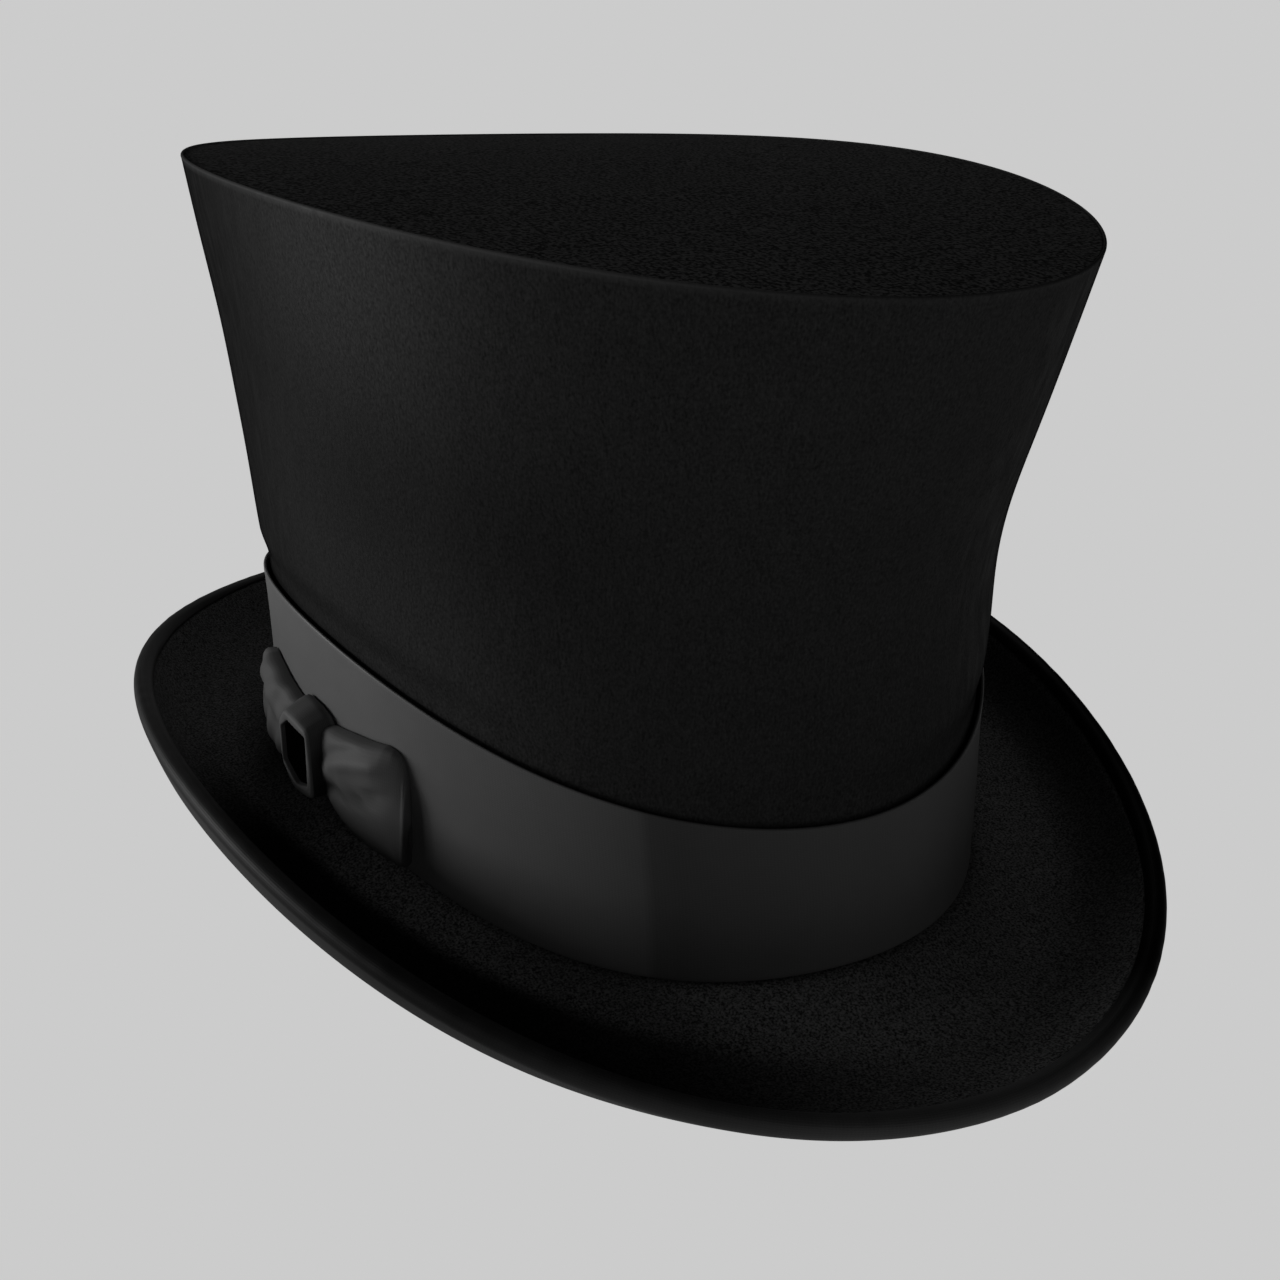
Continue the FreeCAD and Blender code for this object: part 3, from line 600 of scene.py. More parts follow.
MAT = {
    "side_plush": plush_material("crown_plush", grey(0.009), grey(0.040)),
    "crown_felt": felt_material("tip_felt", grey(0.001), grey(0.082), 0.78, spread=0.09),
    # painted light: the brim felt is given a lighter colour than the tip felt, and the painted brim shade darkens it
    # again
    "brim_felt": felt_material("brim_felt", grey(0.020), grey(0.28), 0.5),
    "under_felt": felt_material("under_brim_cloth", grey(0.004), grey(0.012), 0.5),
    "band_satin": satin_material("band_ribbon", grey(0.098), grey(0.128), rough=0.5, spec=0.2),
    "bow_satin": satin_material("bow_ribbon", grey(0.092), grey(0.120), rough=0.58, spec=0.14),
    "binding_satin": satin_material("binding_ribbon", grey(0.010), grey(0.018), rib_mm=0.0,
                                    rough=0.55, spec=0.25),
    "keeper_hollow": hollow_shade_black("keeper_hollow"),
    "stiffener": board_material("shellacked_gossamer"),
    "lining_satin": satin_material("lining_satin", (0.50, 0.45, 0.36), (0.70, 0.66, 0.56),
                                   across=True, rough=0.38, spec=0.45, sheen=0.2, weave=0.3),
    "sweat_leather": leather_material("roan_leather"),
    "thread": thread_material("waxed_thread", grey(0.008), grey(0.03)),
    "sweat_thread": thread_material("linen_thread", (0.30, 0.21, 0.12), (0.55, 0.43, 0.28)),
    "trim_ribbon": satin_material("trim_ribbon", grey(0.01), grey(0.022), rib_mm=0.5, rough=0.55),
    "reed_plastic": felt_material("reed", grey(0.05), grey(0.10), 0.5, 0.0, 0.3),
    "edge_wire": wire_material("edge_wire"),
    "size_label": satin_material("woven_label", (0.55, 0.51, 0.43), (0.72, 0.68, 0.6), rib_mm=0.4,
                                 rough=0.6),
}

# every CAD node that stays gets its slot's material
subparts = {s["node"]: s["material_slot"] for s in frame["record"]["subparts"]}
for node_name, ob in NODES.items():
    slot = subparts.get(node_name)
    if slot in MAT:
        ob.data.materials.clear()
        ob.data.materials.append(MAT[slot])
        for p in ob.data.polygons:
            p.use_smooth = True

# =====================================================================
# Crown
# =====================================================================
TH = ring(720)
TH_FINE = ring(1080)


def arc_rows(fn, a0, a1, steps):
    return [fn(a) for a in np.linspace(a0, a1, steps)]


# plush side: from behind the band up to a softly rolled top edge
UNDER_BAND = LOW - 1.1
lev = np.concatenate([np.linspace(UNDER_BAND, 46, 10, endpoint=False),
                      np.linspace(46, RIM - 0.62, 92)])
soft = 0.07 * waves(TH, 3, 9, 3, 18)
rows = []
for l in lev:
    k = np.interp(l, [60, 100, 150], [0.4, 1.0, 0.5])
    ripple = 0.05 * np.sin(0.06 * l + 3 * TH) + soft * k
    rows.append(crown(l, neck(l) + np.where(l > 60, ripple, 0.0), TH))
# the rolled edge
for a in np.linspace(0.15, PI * 0.5, 6):
    rows.append(crown(RIM - 0.62 + 0.62 * math.sin(a), -0.55 * (1 - math.cos(a)), TH))
rows.append(crown(RIM - 0.02, -COVER, TH))
for l in np.linspace(RIM - 0.5, UNDER_BAND, 24):
    rows.append(crown(l, neck(l) - COVER, TH))
side = lofted("crown_side_plush", rows, MAT["side_plush"])
# painted highlight along the rolled top edge, strongest from about 135 to 222 degrees round the crown
rim_highlight_at = side.data.attributes.new("edge", "FLOAT", "POINT")
rim_highlight_v = np.zeros(len(side.data.vertices), np.float32)
wear_and_painted_highlight = 0.12 + 0.88 * np.interp(np.degrees(TH), [100, 135, 222, 262, 340], [0, 1, 1, 0.15, 0])
for i in range(len(lev), len(lev) + 8):
    rim_highlight_v[i * len(TH):(i + 1) * len(TH)] = wear_and_painted_highlight
rim_highlight_v[(len(lev) - 1) * len(TH):len(lev) * len(TH)] = 0.6 * wear_and_painted_highlight
# painted highlight and painted shade on the plush, in patches set by angle round the crown and by height
painted_light_shade = side.data.attributes.new("painted_light_shade", "FLOAT", "POINT")
painted_light_shade_v = np.zeros(len(side.data.vertices), np.float32)
deg = np.degrees(TH)
for i, l in enumerate(lev):
    painted_light_shade_gain = (0.64 * bump_at(deg, 203.0, 14.5) * bump_at(l, 140.0, 26.0)
            - 0.31 * bump_at(deg, 214.0, 20.0) * bump_at(l, 98.0, 20.0)
            - 0.10 * bump_at(deg, 232.0, 12.0) - 0.10 * bump_at(deg, 216.0, 9.0) * bump_at(l, 135.0, 22.0)
            + 0.16 * np.clip((deg - 225.0) / 25.0, 0, 1) * np.clip((325.0 - deg) / 20.0, 0, 1)
            - 0.42 * bump_at(deg, 174.0, 12.0) * bump_at(l, 125.0, 50.0)
            - 0.20 * bump_at(deg, 199.0, 10.0) * bump_at(l, 96.0, 24.0)
            + 0.12 * bump_at(deg, 187.0, 10.0) * bump_at(l, 76.0, 20.0))
    painted_light_shade_v[i * len(TH):(i + 1) * len(TH)] = painted_light_shade_gain
painted_light_shade.data.foreach_set("value", painted_light_shade_v)
rim_highlight_at.data.foreach_set("value", rim_highlight_v)
finish_piece(side, ["crown_side_cover"])


def tip_ring(scale, depth, drop, th):
    k = (scale * scale - 0.01) / 0.99
    x, y = oval((half_wide(RIM) - depth) * scale, (half_long(RIM) - depth) * scale, POWER_TIP, th)
    z = (RIM - drop + k * (DIP[2] * np.cos(2 * th) + WAVE[2] * np.cos(4 * th))
         + TIP_DOME * (1 - scale * scale))
    return np.stack([x, y + LEAN, z], -1)


def disc_rows(depth, drop, thick, th, rings=26, lift=None, roll=0.3):
    """Rows of a domed disc: under side from the middle out, rim, upper side to the middle."""
    out = []
    scales = np.sin(np.linspace(0.04, PI / 2, rings))
    for s in scales:
        p = tip_ring(s, depth + roll, drop + thick, th)
        out.append(p)
    for a in np.linspace(-PI / 2, PI / 2, 7)[1:-1]:
        p = tip_ring(1.0, depth + roll * (1 - math.cos(a)), drop + thick / 2 - thick / 2 * math.sin(a), th)
        out.append(p)
    for s in scales[::-1]:
        p = tip_ring(s, depth + roll, drop, th)
        if lift is not None:
            p[:, 2] += lift(s, p)
        out.append(p)
    return out


D0 = COVER + GAP
D1 = D0 + SHELL
th_tip = ring(480)


def tip_lift(s, p):
    return 0.10 * np.sin(p[:, 0] * 0.11 + 0.6) * np.sin(p[:, 1] * 0.083) * (1 - s ** 4)


rows = disc_rows(COVER + 0.05, 0.3, FELT, th_tip, 40, tip_lift, 0.34)
mid_low = tip_ring(0.0, 0.8, 0.3 + FELT, np.array([0.0]))[0]
mid_top = tip_ring(0.0, 0.8, 0.3, np.array([0.0]))[0]
tip = lofted("crown_tip_felt", rows, MAT["crown_felt"], False, mid_low, mid_top)
finish_piece(tip, ["crown_tip_cover"])

# =====================================================================
# Brim
# =====================================================================
EDGE_BACK = 1.3


def inner_row(off, dz, th):
    p = crown(LOW, off, th)
    p[:, 2] += dz - 0.4
    return p


th_brim = ring(720)
t_fine = np.concatenate([np.linspace(0, 0.5, 46), np.linspace(0.5, 0.955, 46)[1:]])
b_soft = 0.06 * waves(th_brim, 11, 8, 3, 16)


def brim_row(t, depth, th, extra=0.0):
    return brim(t, depth - extra, th)


rows = [inner_row(-NECK + GAP, 0.0, th_brim)]
for t in t_fine:
    rows.append(brim_row(t, 0.0, th_brim, b_soft * math.sin(PI * t)))
rows += [brim_end(EDGE_BACK, 0.0, th_brim), brim_end(EDGE_BACK, FELT, th_brim)]
for t in t_fine[::-4]:
    rows.append(brim(t, FELT, th_brim))
rows.append(inner_row(-NECK + GAP, -FELT, th_brim))
felt = lofted("brim_top_felt", rows, MAT["brim_felt"])
# painted shade on the brim felt: darker by angle round the brim, darker again towards the curled edge and next to the
# band, and darker on the felt's under face
painted_shade_at = felt.data.attributes.new("painted_brim_shade", "FLOAT", "POINT")
painted_shade_v = np.zeros(len(felt.data.vertices), np.float32)
painted_shade_t = np.concatenate([[0.0], t_fine])
deg = np.degrees(th_brim)
painted_shade_base = np.interp(deg, [0, 100, 150, 185, 200, 214, 236, 254, 295, 330, 360],
                     [0.45, 0.45, 0.42, 0.3, 0.0, 0.0, 0.42, 0.42, 0.3, 0.45, 0.45])
painted_shade_most = np.interp(deg, [0, 100, 150, 172, 188, 222, 240, 255, 272, 305, 330, 360],
                     [0.5, 0.2, 0.1, 0.3, 0.88, 0.93, 0.62, 0.4, 0.38, 0.5, 0.62, 0.5])
painted_shade_from = np.interp(deg, [0, 160, 180, 192, 222, 240, 256, 300, 330, 360],
                     [0.42, 0.5, 0.42, 0.32, 0.27, 0.33, 0.38, 0.41, 0.48, 0.42])
painted_shade_wide = np.interp(deg, [0, 150, 188, 240, 262, 330, 360], [0.32, 0.25, 0.16, 0.17, 0.36, 0.36, 0.32])
for i, t in enumerate(painted_shade_t):
    turn = np.clip((t - painted_shade_from) / painted_shade_wide, 0, 1)
    turn = turn * turn * (3 - 2 * turn)
    near = 0.35 * max(0.0, 1 - t / 0.07)
    painted_shade_v[i * len(th_brim):(i + 1) * len(th_brim)] = 1 - (1 - painted_shade_base) * (1 - painted_shade_most * turn) * (1 - near)
painted_shade_v[len(painted_shade_t) * len(th_brim):] = 0.6
painted_shade_at.data.foreach_set("value", painted_shade_v)
finish_piece(felt, ["brim_top_cover"])

col_in = -(NECK + D1 + GAP) - 1.0
u0 = FELT + GAP + CORE + GAP
u1 = u0 + UNDER
rows = [inner_row(col_in, -u0, th_brim)]
for t in t_fine[::4]:
    rows.append(brim(t, u0, th_brim))
rows += [brim_end(EDGE_BACK, u0, th_brim), brim_end(EDGE_BACK, u1, th_brim)]
for t in t_fine[::-1]:
    rows.append(brim(t, u1, th_brim))
rows.append(inner_row(col_in, -u1, th_brim))
under = lofted("brim_under_cloth", rows, MAT["under_felt"])
finish_piece(under, ["brim_under_cover"])

# folded ribbon round the edge
RI, RO = TOTAL / 2 + 0.05, TOTAL / 2 + 0.05 + RIBBON
th_bind = ring(900)
pucker = 0.045 * waves(th_bind, 21, 16, 30, 160)


rows = []
across, down, _sp = brim_frame(1.0, th_bind)
rows.append(brim_end(1.35, -0.05 - RIBBON * 0.25, th_bind))
rows.append(brim_end(1.25, -0.05 - RIBBON * 0.75, th_bind))
rows.append(brim_end(1.0, -0.05 - RIBBON, th_bind))
for a in np.linspace(0.0, 1.0, 22):
    rows.append(edge_round(RO, PI * a, th_bind) + across * (pucker * math.sin(PI * a))[:, None])
for k in np.linspace(0.06, 0.94, 12):
    rows.append(brim_end(LEG * k, TOTAL + 0.05 + RIBBON, th_bind))
rows.append(brim_end(LEG * 0.985, TOTAL + 0.05 + RIBBON * 0.9, th_bind))
rows.append(brim_end(LEG * 1.0, TOTAL + 0.05 + RIBBON * 0.5, th_bind))
rows.append(brim_end(LEG * 0.985, TOTAL + 0.05 + RIBBON * 0.1, th_bind))
for k in (0.94, 0.7, 0.45, 0.2):
    rows.append(brim_end(LEG * k, TOTAL + 0.05, th_bind))
for a in np.linspace(1.0, 0.0, 13):
    rows.append(edge_round(RI, PI * a, th_bind))
rows.append(brim_end(1.0, -0.05, th_bind))
rows.append(brim_end(1.3, -0.05, th_bind))
binding = lofted("brim_binding_ribbon", rows, MAT["binding_satin"])
# painted highlight and painted shade on the binding, set by angle round the brim
painted_light_gain = binding.data.attributes.new("painted_light_gain", "FLOAT", "POINT")
painted_light_by_angle = np.interp(np.degrees(th_bind), [0, 60, 140, 175, 192, 204, 213, 221, 230, 238, 250, 266, 282, 294, 335, 360],
                  [-0.2, 0.0, 0.2, 0.32, 0.5, 0.0, -0.38, -0.2, 0.3, 0.9, 2.8, 2.6, 0.3, -0.85, -0.8, -0.2])
painted_near_side_mask = np.clip((232.0 - np.degrees(th_bind)) / 12.0, 0, 1)
painted_light_rows = []
for i in range(len(rows)):
    # painted highlight high on the fold's round and painted shade lower on it, where the angle round the brim is
    # under about 232 degrees
    painted_crest_light_and_shade = np.interp((i - 3) / 21.0, [0.0, 0.2, 0.38, 0.54, 1.0], [0.2, 0.65, 0.45, -0.32, -0.42]) if 3 <= i < 25 else 0.0
    painted_light_rows.append((1 + painted_light_by_angle) * (1 + painted_crest_light_and_shade * painted_near_side_mask) - 1)
painted_light_gain.data.foreach_set("value", np.concatenate(painted_light_rows).astype(np.float32))
finish_piece(binding, ["brim_binding"])

# =====================================================================
# Hat band
# =====================================================================
th_band = ring(900)
rows = []
b0, b1 = LOW + 0.35, BAND_TOP - 0.35
wavy = 0.05 * waves(th_band, 31, 10, 3, 26)
for l in np.linspace(b0, b1, 44):
    k = math.sin(PI * (l - b0) / (b1 - b0))
    edge_bead = 0.07 * (math.exp(-((l - b0 - 0.7) / 0.5) ** 2) + math.exp(-((b1 - l - 0.7) / 0.5) ** 2))
    rows.append(crown(l, BAND_STAND + edge_bead + wavy * k, th_band))
for a in np.linspace(0, PI, 7)[1:-1]:
    rows.append(crown(b1 + 0.35 * math.sin(a), BAND_STAND - BAND_THICK / 2 + BAND_THICK / 2 * math.cos(a), th_band))
for l in np.linspace(b1, b0, 14):
    rows.append(crown(l, BAND_STAND - BAND_THICK, th_band))
for a in np.linspace(0, PI, 7)[1:-1]:
    rows.append(crown(b0 - 0.35 * math.sin(a), BAND_STAND - BAND_THICK / 2 - BAND_THICK / 2 * math.cos(a), th_band))
band = lofted("hat_band_ribbon", rows, MAT["band_satin"])
# painted highlight and painted shade on the band, set by angle round the crown
painted_light_gain = band.data.attributes.new("painted_light_gain", "FLOAT", "POINT")
painted_light_by_angle = np.interp(np.degrees(th_band), [0, 120, 160, 173, 183, 198, 210, 221, 231, 235.6, 237.2, 240.5, 247, 256, 264, 279, 291, 330, 360],
                  [0.0, 0.1, 0.26, 0.29, 0.33, 0.35, 0.12, 0.05, -0.05, -0.15, -0.41, -0.43, -0.3, -0.18, -0.09,
                   -0.1, -0.24, -0.1, 0.0])
painted_light_gain.data.foreach_set("value", np.tile(painted_light_by_angle, len(rows)).astype(np.float32))
finish_piece(band, ["hat_band"])

# =====================================================================
# Bow on the wearer's left
# =====================================================================
bow_th = np.radians(np.linspace(135, 255, 2401))
bow_line = at_height(np.full(bow_th.shape, 30.0), BAND_STAND, bow_th)
bow_arc = np.concatenate([[0], np.cumsum(np.linalg.norm(np.diff(bow_line, axis=0), axis=1))])
bow_arc -= np.interp(PI, bow_th, bow_arc)


def on_band(s, z, d):
    """A point s along the band from its leftmost line, z high, d off its face."""
    return at_height(z, BAND_STAND + np.asarray(d, float), np.interp(s, bow_arc, bow_th))


PHI = ring(112)


def section(phi, power):
    c, s = np.cos(phi), np.sin(phi)
    return (0.5 - 0.5 * np.sign(c) * np.abs(c) ** (2 / power), np.sign(s) * np.abs(s) ** (2 / power))


def loop_section(u, shape):
    """s, z, d of one section of a puffed loop, u from the knot to the fold."""
    v, g_ = section(PHI, 3.6)
    s_n, z0, z1 = shape["s"](u), shape["low"](u), shape["high"](u)
    z = z0 + v * (z1 - z0)
    back = shape["back"](u)
    front = shape["front"](u, z)
    mid = back + (front - back) * 0.1
    d = np.where(g_ > 0, mid + (front - mid) * g_, mid + (mid - back) * g_)
    s = s_n + (shape["skew"] * (z - 29.0) + shape["way"] * 0.26 * (d - 1.2)) * u ** 5
    return s, z, d


def inward(a, b, amount):
    """A closed curve moved in by amount, in its own plane."""
    da, db = np.roll(a, -1) - np.roll(a, 1), np.roll(b, -1) - np.roll(b, 1)
    ln = np.maximum(np.hypot(da, db), 1e-9)
    na, nb = db / ln, -da / ln
    area = 0.5 * np.sum(a * np.roll(b, -1) - np.roll(a, -1) * b)
    k = -amount if area > 0 else amount
    return a + na * k, b + nb * k


def soft_loop(name, shape, stations=58, wall=0.45):
    us = np.sin(np.linspace(0, PI / 2, stations))
    outer, inner = [], []
    for u in us:
        s, z, d = loop_section(u, shape)
        outer.append(on_band(s, z, d))
        z2, d2 = inward(z, d, wall)
        inner.append(on_band(s - shape["way"] * wall * u ** 8, z2, d2))
    s, z, d = loop_section(1.0, shape)
    cz, cd = z.mean(), d.mean()
    for k, out in ((0.975, 0.3), (0.92, 0.48), (0.82, 0.56), (0.62, 0.6), (0.4, 0.63), (0.2, 0.65)):
        outer.append(on_band(cz * 0 + s + shape["way"] * out, cz + (z - cz) * k, cd + (d - cd) * k))
    z2, d2 = inward(z, d, wall)
    tail = []
    for k, out in ((0.95, 0.3), (0.8, 0.4), (0.5, 0.48), (0.2, 0.5)):
        tail.append(on_band(s + shape["way"] * (out - wall), cz + (z2 - cz) * k, cd + (d2 - cd) * k))
    s_mid = float(s.mean())
    rows = tail[::-1] + inner[::-1] + outer
    cap0 = on_band(s_mid + shape["way"] * (0.5 - wall), cz, cd)
    cap1 = on_band(s_mid + shape["way"] * 0.66, cz, cd)
    loop = lofted(name, rows, MAT["bow_satin"], False, np.ravel(cap0), np.ravel(cap1))
    first = len(tail) + len(inner)
    # painted light on the loop: each shape's painted highlight and shade, painted shade low on the fold, and darker
    # painted shade on the loop's end
    painted_light_tone = np.zeros(len(loop.data.vertices), np.float32)
    for i, u in enumerate(us):
        _s, z, _d = loop_section(u, shape)
        at = (first + i) * len(PHI)
        painted_light_tone[at:at + len(PHI)] = shape["painted_light_tone"](u, z) - 0.4 * np.clip((u - 0.985) / 0.012, 0, 1) * np.clip((30.0 - z) / 6.0, 0, 1)
    _s, z, _d = loop_section(1.0, shape)
    end_painted_shade = -0.2 - 0.4 * np.clip((30.0 - z) / 7.0, 0, 1)
    for i in range(first + len(us), len(rows)):
        painted_light_tone[i * len(PHI):(i + 1) * len(PHI)] = end_painted_shade
    attr = loop.data.attributes.new("painted_light_gain", "FLOAT", "POINT")
    attr.data.foreach_set("value", painted_light_tone)
    return loop


def rear_front(u, z):
    s = 15.6 + 28.9 * u
    base = np.interp(s, [15, 18, 22, 27, 34, 40, 46], [3.6, 4.4, 5.2, 5.8, 5.8, 5.5, 5.1])
    ridge_z = np.interp(s, [17, 20, 25, 30.5, 36, 39.5, 46], [28, 30, 33.5, 36, 38, 39, 39.5])
    groove_z = np.interp(s, [17, 23, 29, 33, 37, 46], [24, 26, 27.2, 28.8, 31, 33])
    fade = np.interp(s, [17, 21, 38, 43], [0.3, 1, 1, 0])
    d = base + fade * (0.75 * bump_at(z, ridge_z, 1.7) - 1.3 * bump_at(z, groove_z, 1.5)
                       - 0.45 * bump_at(z, ridge_z + 3.2, 1.4))
    d = d + 0.35 * bump_at(z, 20.5, 4.5) * np.interp(s, [17, 26, 44], [0, 1, 0.3])
    d = d - 0.5 * bump_at(z, 15.0, 2.0)
    d = d + 0.12 * np.sin(0.5 * s + 0.23 * z)
    end = np.clip((s - 36.5) / 7.5, 0, 1) ** 2
    flat_end = np.interp(z, [13.5, 17, 22, 30, 35, 39, 42], [4.0, 4.7, 4.4, 3.7, 2.9, 2.3, 1.6])
    return d + (flat_end - d) * end + 0.3 * bump_at(s, 42.6, 1.3) * bump_at(z, 18.5, 2.5)


# painted highlight along the rear loop's ridge and painted shade in its groove
def rear_painted_light(u, z):
    s = 15.6 + 28.9 * u
    ridge_z = np.interp(s, [17, 20, 25, 30.5, 36, 39.5, 46], [28, 30, 33.5, 36, 38, 39, 39.5])
    groove_z = np.interp(s, [17, 23, 29, 33, 37, 46], [24, 26, 27.2, 28.8, 31, 33])
    fade = np.interp(s, [17, 21, 33, 39], [0.3, 1, 1, 0])
    return fade * (0.12 * bump_at(z, ridge_z, 1.6) - 0.36 * bump_at(z, groove_z, 1.5))


rear = {
    "painted_light_tone": rear_painted_light,
    "way": 1.0, "skew": 0.055,
    "s": lambda u: 15.6 + 28.9 * u,
    "high": lambda u: np.interp(15.6 + 28.9 * u, [15.6, 20.4, 27.8, 34.1, 39.3, 41.6, 43.0, 43.9, 44.35, 44.5],
                                [38.2, 39.3, 40.6, 41.5, 42.5, 42.3, 41.3, 39.7, 38.0, 36.6]),
    "low": lambda u: np.interp(15.6 + 28.9 * u, [15.6, 17, 21, 25, 30, 35, 40, 43, 44.5],
                               [20.6, 20.2, 18.9, 17.3, 16.0, 15.1, 14.4, 14.2, 14.9]),
    "back": lambda u: 0.05 + 0.15 * (1 - u) ** 2,
    "front": rear_front,
}
loop_rear = soft_loop("bow_loop_rear_ribbon", rear)
finish_piece(loop_rear, ["bow_loop_rear"])


def fore_front(u, z):
    s = 4.0 - 25.0 * u
    base = np.interp(-s, [-4, 0, 6, 12, 18, 21], [3.6, 4.6, 5.6, 5.5, 4.9, 4.4])
    fade = np.interp(-s, [-4, 0, 13, 19], [0.3, 1, 1, 0.2])
    ridge_z = np.interp(-s, [-4, 3, 10, 18], [30, 33, 36, 38])
    d = base + fade * (0.9 * bump_at(z, ridge_z, 2.4) - 0.8 * bump_at(z, ridge_z - 6.5, 2.1))
    d = d + 0.45 * bump_at(z, 22.5, 3.6) * np.interp(-s, [-3, 8, 19], [0, 1, 0.8])
    d = d - 0.5 * bump_at(z, 29.5 - 0.2 * s, 1.6) * np.interp(-s, [8, 15], [0, 1])
    return d + 0.34 * np.sin(0.75 * s - 0.3 * z)


fore = {
    # painted shade along a groove of the front loop
    "painted_light_tone": lambda u, z: -0.2 * bump_at(z, 28.5 + 3.0 * u, 1.6) * np.clip(4 * u, 0, 1),
    "way": -1.0, "skew": -0.1,
    "s": lambda u: 5.2 - 26.2 * u,
    "high": lambda u: np.interp(u, [0, 0.3, 0.6, 0.85, 1.0], [38.4, 39.6, 41.0, 41.9, 41.0]),
    "low": lambda u: np.interp(u, [0, 0.15, 0.35, 0.6, 0.85, 1.0], [21.0, 20.4, 19.4, 18.4, 17.6, 18.2]),
    "back": lambda u: 0.02 + 0.1 * (1 - u) ** 2,
    "front": fore_front,
}
loop_front = soft_loop("bow_loop_front_ribbon", fore, 52)
finish_piece(loop_front, ["bow_loop_front"])


def rounded_polygon(corners, radius, steps=9):
    """Closed outline with each corner turned on a smooth curve."""
    pts = []
    n = len(corners)
    for i in range(n):
        p0, p1, p2 = (np.array(corners[(i + k) % n], float) for k in (-1, 0, 1))
        a, b = p0 - p1, p2 - p1
        r = min(radius, 0.45 * np.linalg.norm(a), 0.45 * np.linalg.norm(b))
        a, b = p1 + a / np.linalg.norm(a) * r, p1 + b / np.linalg.norm(b) * r
        for t in np.linspace(0, 1, steps):
            pts.append((1 - t) ** 2 * a + 2 * t * (1 - t) * p1 + t * t * b)
    return np.array(pts)


def resample(poly, count):
    loop = np.concatenate([poly, poly[:1]])
    cum = np.concatenate([[0], np.cumsum(np.linalg.norm(np.diff(loop, axis=0), axis=1))])
    at = np.linspace(0, cum[-1], count, endpoint=False)
    return np.stack([np.interp(at, cum, loop[:, 0]), np.interp(at, cum, loop[:, 1])], -1)


def start_right(poly):
    """Begin a closed outline at its rearmost middle point, so outlines match up."""
    c = poly.mean(0)
    ang = np.arctan2(poly[:, 1] - c[1], poly[:, 0] - c[0])
    return np.roll(poly, -int(np.argmin(np.abs(ang))), 0)


KN = 168
knot_out = start_right(resample(rounded_polygon(
    [(17.3, 20.9), (17.4, 38.2), (12.4, 39.4), (7.0, 39.5), (2.9, 34.9), (2.9, 24.8), (9.0, 20.0)], 1.7), KN))
knot_hole = start_right(resample(rounded_polygon(
    [(15.6, 23.7), (16.5, 36.9), (8.6, 37.7), (4.0, 33.9), (3.7, 24.9), (10.3, 21.9)], 0.7), KN))


def knot_row(mix_, depth, grow=0.0, waist=0.0):
    p = knot_out * (1 - mix_) + knot_hole * mix_
    c = knot_out.mean(0)
    s = c[0] + (p[:, 0] - c[0]) * (1 + grow)
    s += waist * bump_at(p[:, 1], 29.0, 4.5) * np.sign(s - c[0]) * -1.0
    bow_ = 0.5 * np.cos((p[:, 0] - 10.2) / 7.0)
    back_ = np.clip((7.0 - depth) / 5.0, 0, 1)
    z = p[:, 1] + 2.4 * back_ ** 0.8 * np.clip((p[:, 1] - 35.0) / 4.0, 0, 1) * (1 - mix_)
    return on_band(s, z, depth + bow_ * np.clip(depth / 7.0, 0, 1))


rows = [knot_row(0.5, 0.5, 0.1), knot_row(0.25, 0.4, 0.13), knot_row(0.06, 0.42, 0.15), knot_row(0.0, 0.8, 0.15)]
for dd in np.linspace(1.5, 6.3, 12):
    rows.append(knot_row(0.0, dd, 0.16 * (1 - dd / 6.6) ** 1.5, 0.8 * math.sin(PI * min(dd / 6.6, 1))))
rows += [knot_row(0.03, 6.72), knot_row(0.1, 6.98), knot_row(0.25, 7.14), knot_row(0.5, 7.18),
         knot_row(0.75, 7.16), knot_row(0.9, 7.1), knot_row(0.97, 6.98), knot_row(1.0, 6.8),
         knot_row(1.0, 6.3), knot_row(1.0, 5.9), knot_row(1.02, 5.5), knot_row(0.9, 5.1),
         knot_row(0.55, 4.6), knot_row(0.36, 3.6), knot_row(0.36, 2.2), knot_row(0.5, 1.3)]
knot = lofted("bow_knot_ribbon", rows, MAT["bow_satin"])
# painted shade on the keeper's side walls on one side, darker towards the bottom, and a painted highlight on its
# front rim
painted_light_tone = np.zeros((len(rows), KN), np.float32)
painted_light_tone[4:16] = -np.clip((knot_out[:, 0] - 11.0) / 3.0, 0, 1) * (0.42 + 0.42 * np.clip((34.0 - knot_out[:, 1]) / 10.0, 0, 1))
painted_light_tone[17:23] = 0.25
attr = knot.data.attributes.new("painted_light_gain", "FLOAT", "POINT")
attr.data.foreach_set("value", painted_light_tone.ravel())
finish_piece(knot, ["bow_keeper"])

# painted shade: a near-black floor put in the keeper's hollow
rows = []
for k, dd in ((0.05, 5.62), (0.3, 5.62), (0.6, 5.63), (0.9, 5.66), (0.985, 5.7), (0.985, 5.95), (0.9, 6.0),
              (0.6, 6.02), (0.3, 6.03), (0.05, 6.03)):
    c = knot_hole.mean(0)
    p = c + (knot_hole - c) * k
    rows.append(on_band(p[:, 0], p[:, 1], dd + 0.4))
c = knot_hole.mean(0)
inset = lofted("bow_keeper_hollow", rows, MAT["keeper_hollow"], False,
               np.ravel(on_band(c[0], c[1], 6.02)), np.ravel(on_band(c[0], c[1], 6.43)))
finish_piece(inset, ["bow_keeper_inset"])

# =====================================================================
# Inside of the hat
# =====================================================================
LS, LT = 5.3, 1.2
th_in = ring(720)


def closed_wall(levels, outer, inner):
    return [outer(l) for l in levels] + [inner(l) for l in levels[::-1]]


# sweatband leather: soft waves, a turned edge and a pressed line below it
sw = 0.16 * waves(th_in, 41, 9, 3, 22)
crease = 0.08 * waves(th_in, 42, 12, 30, 90)


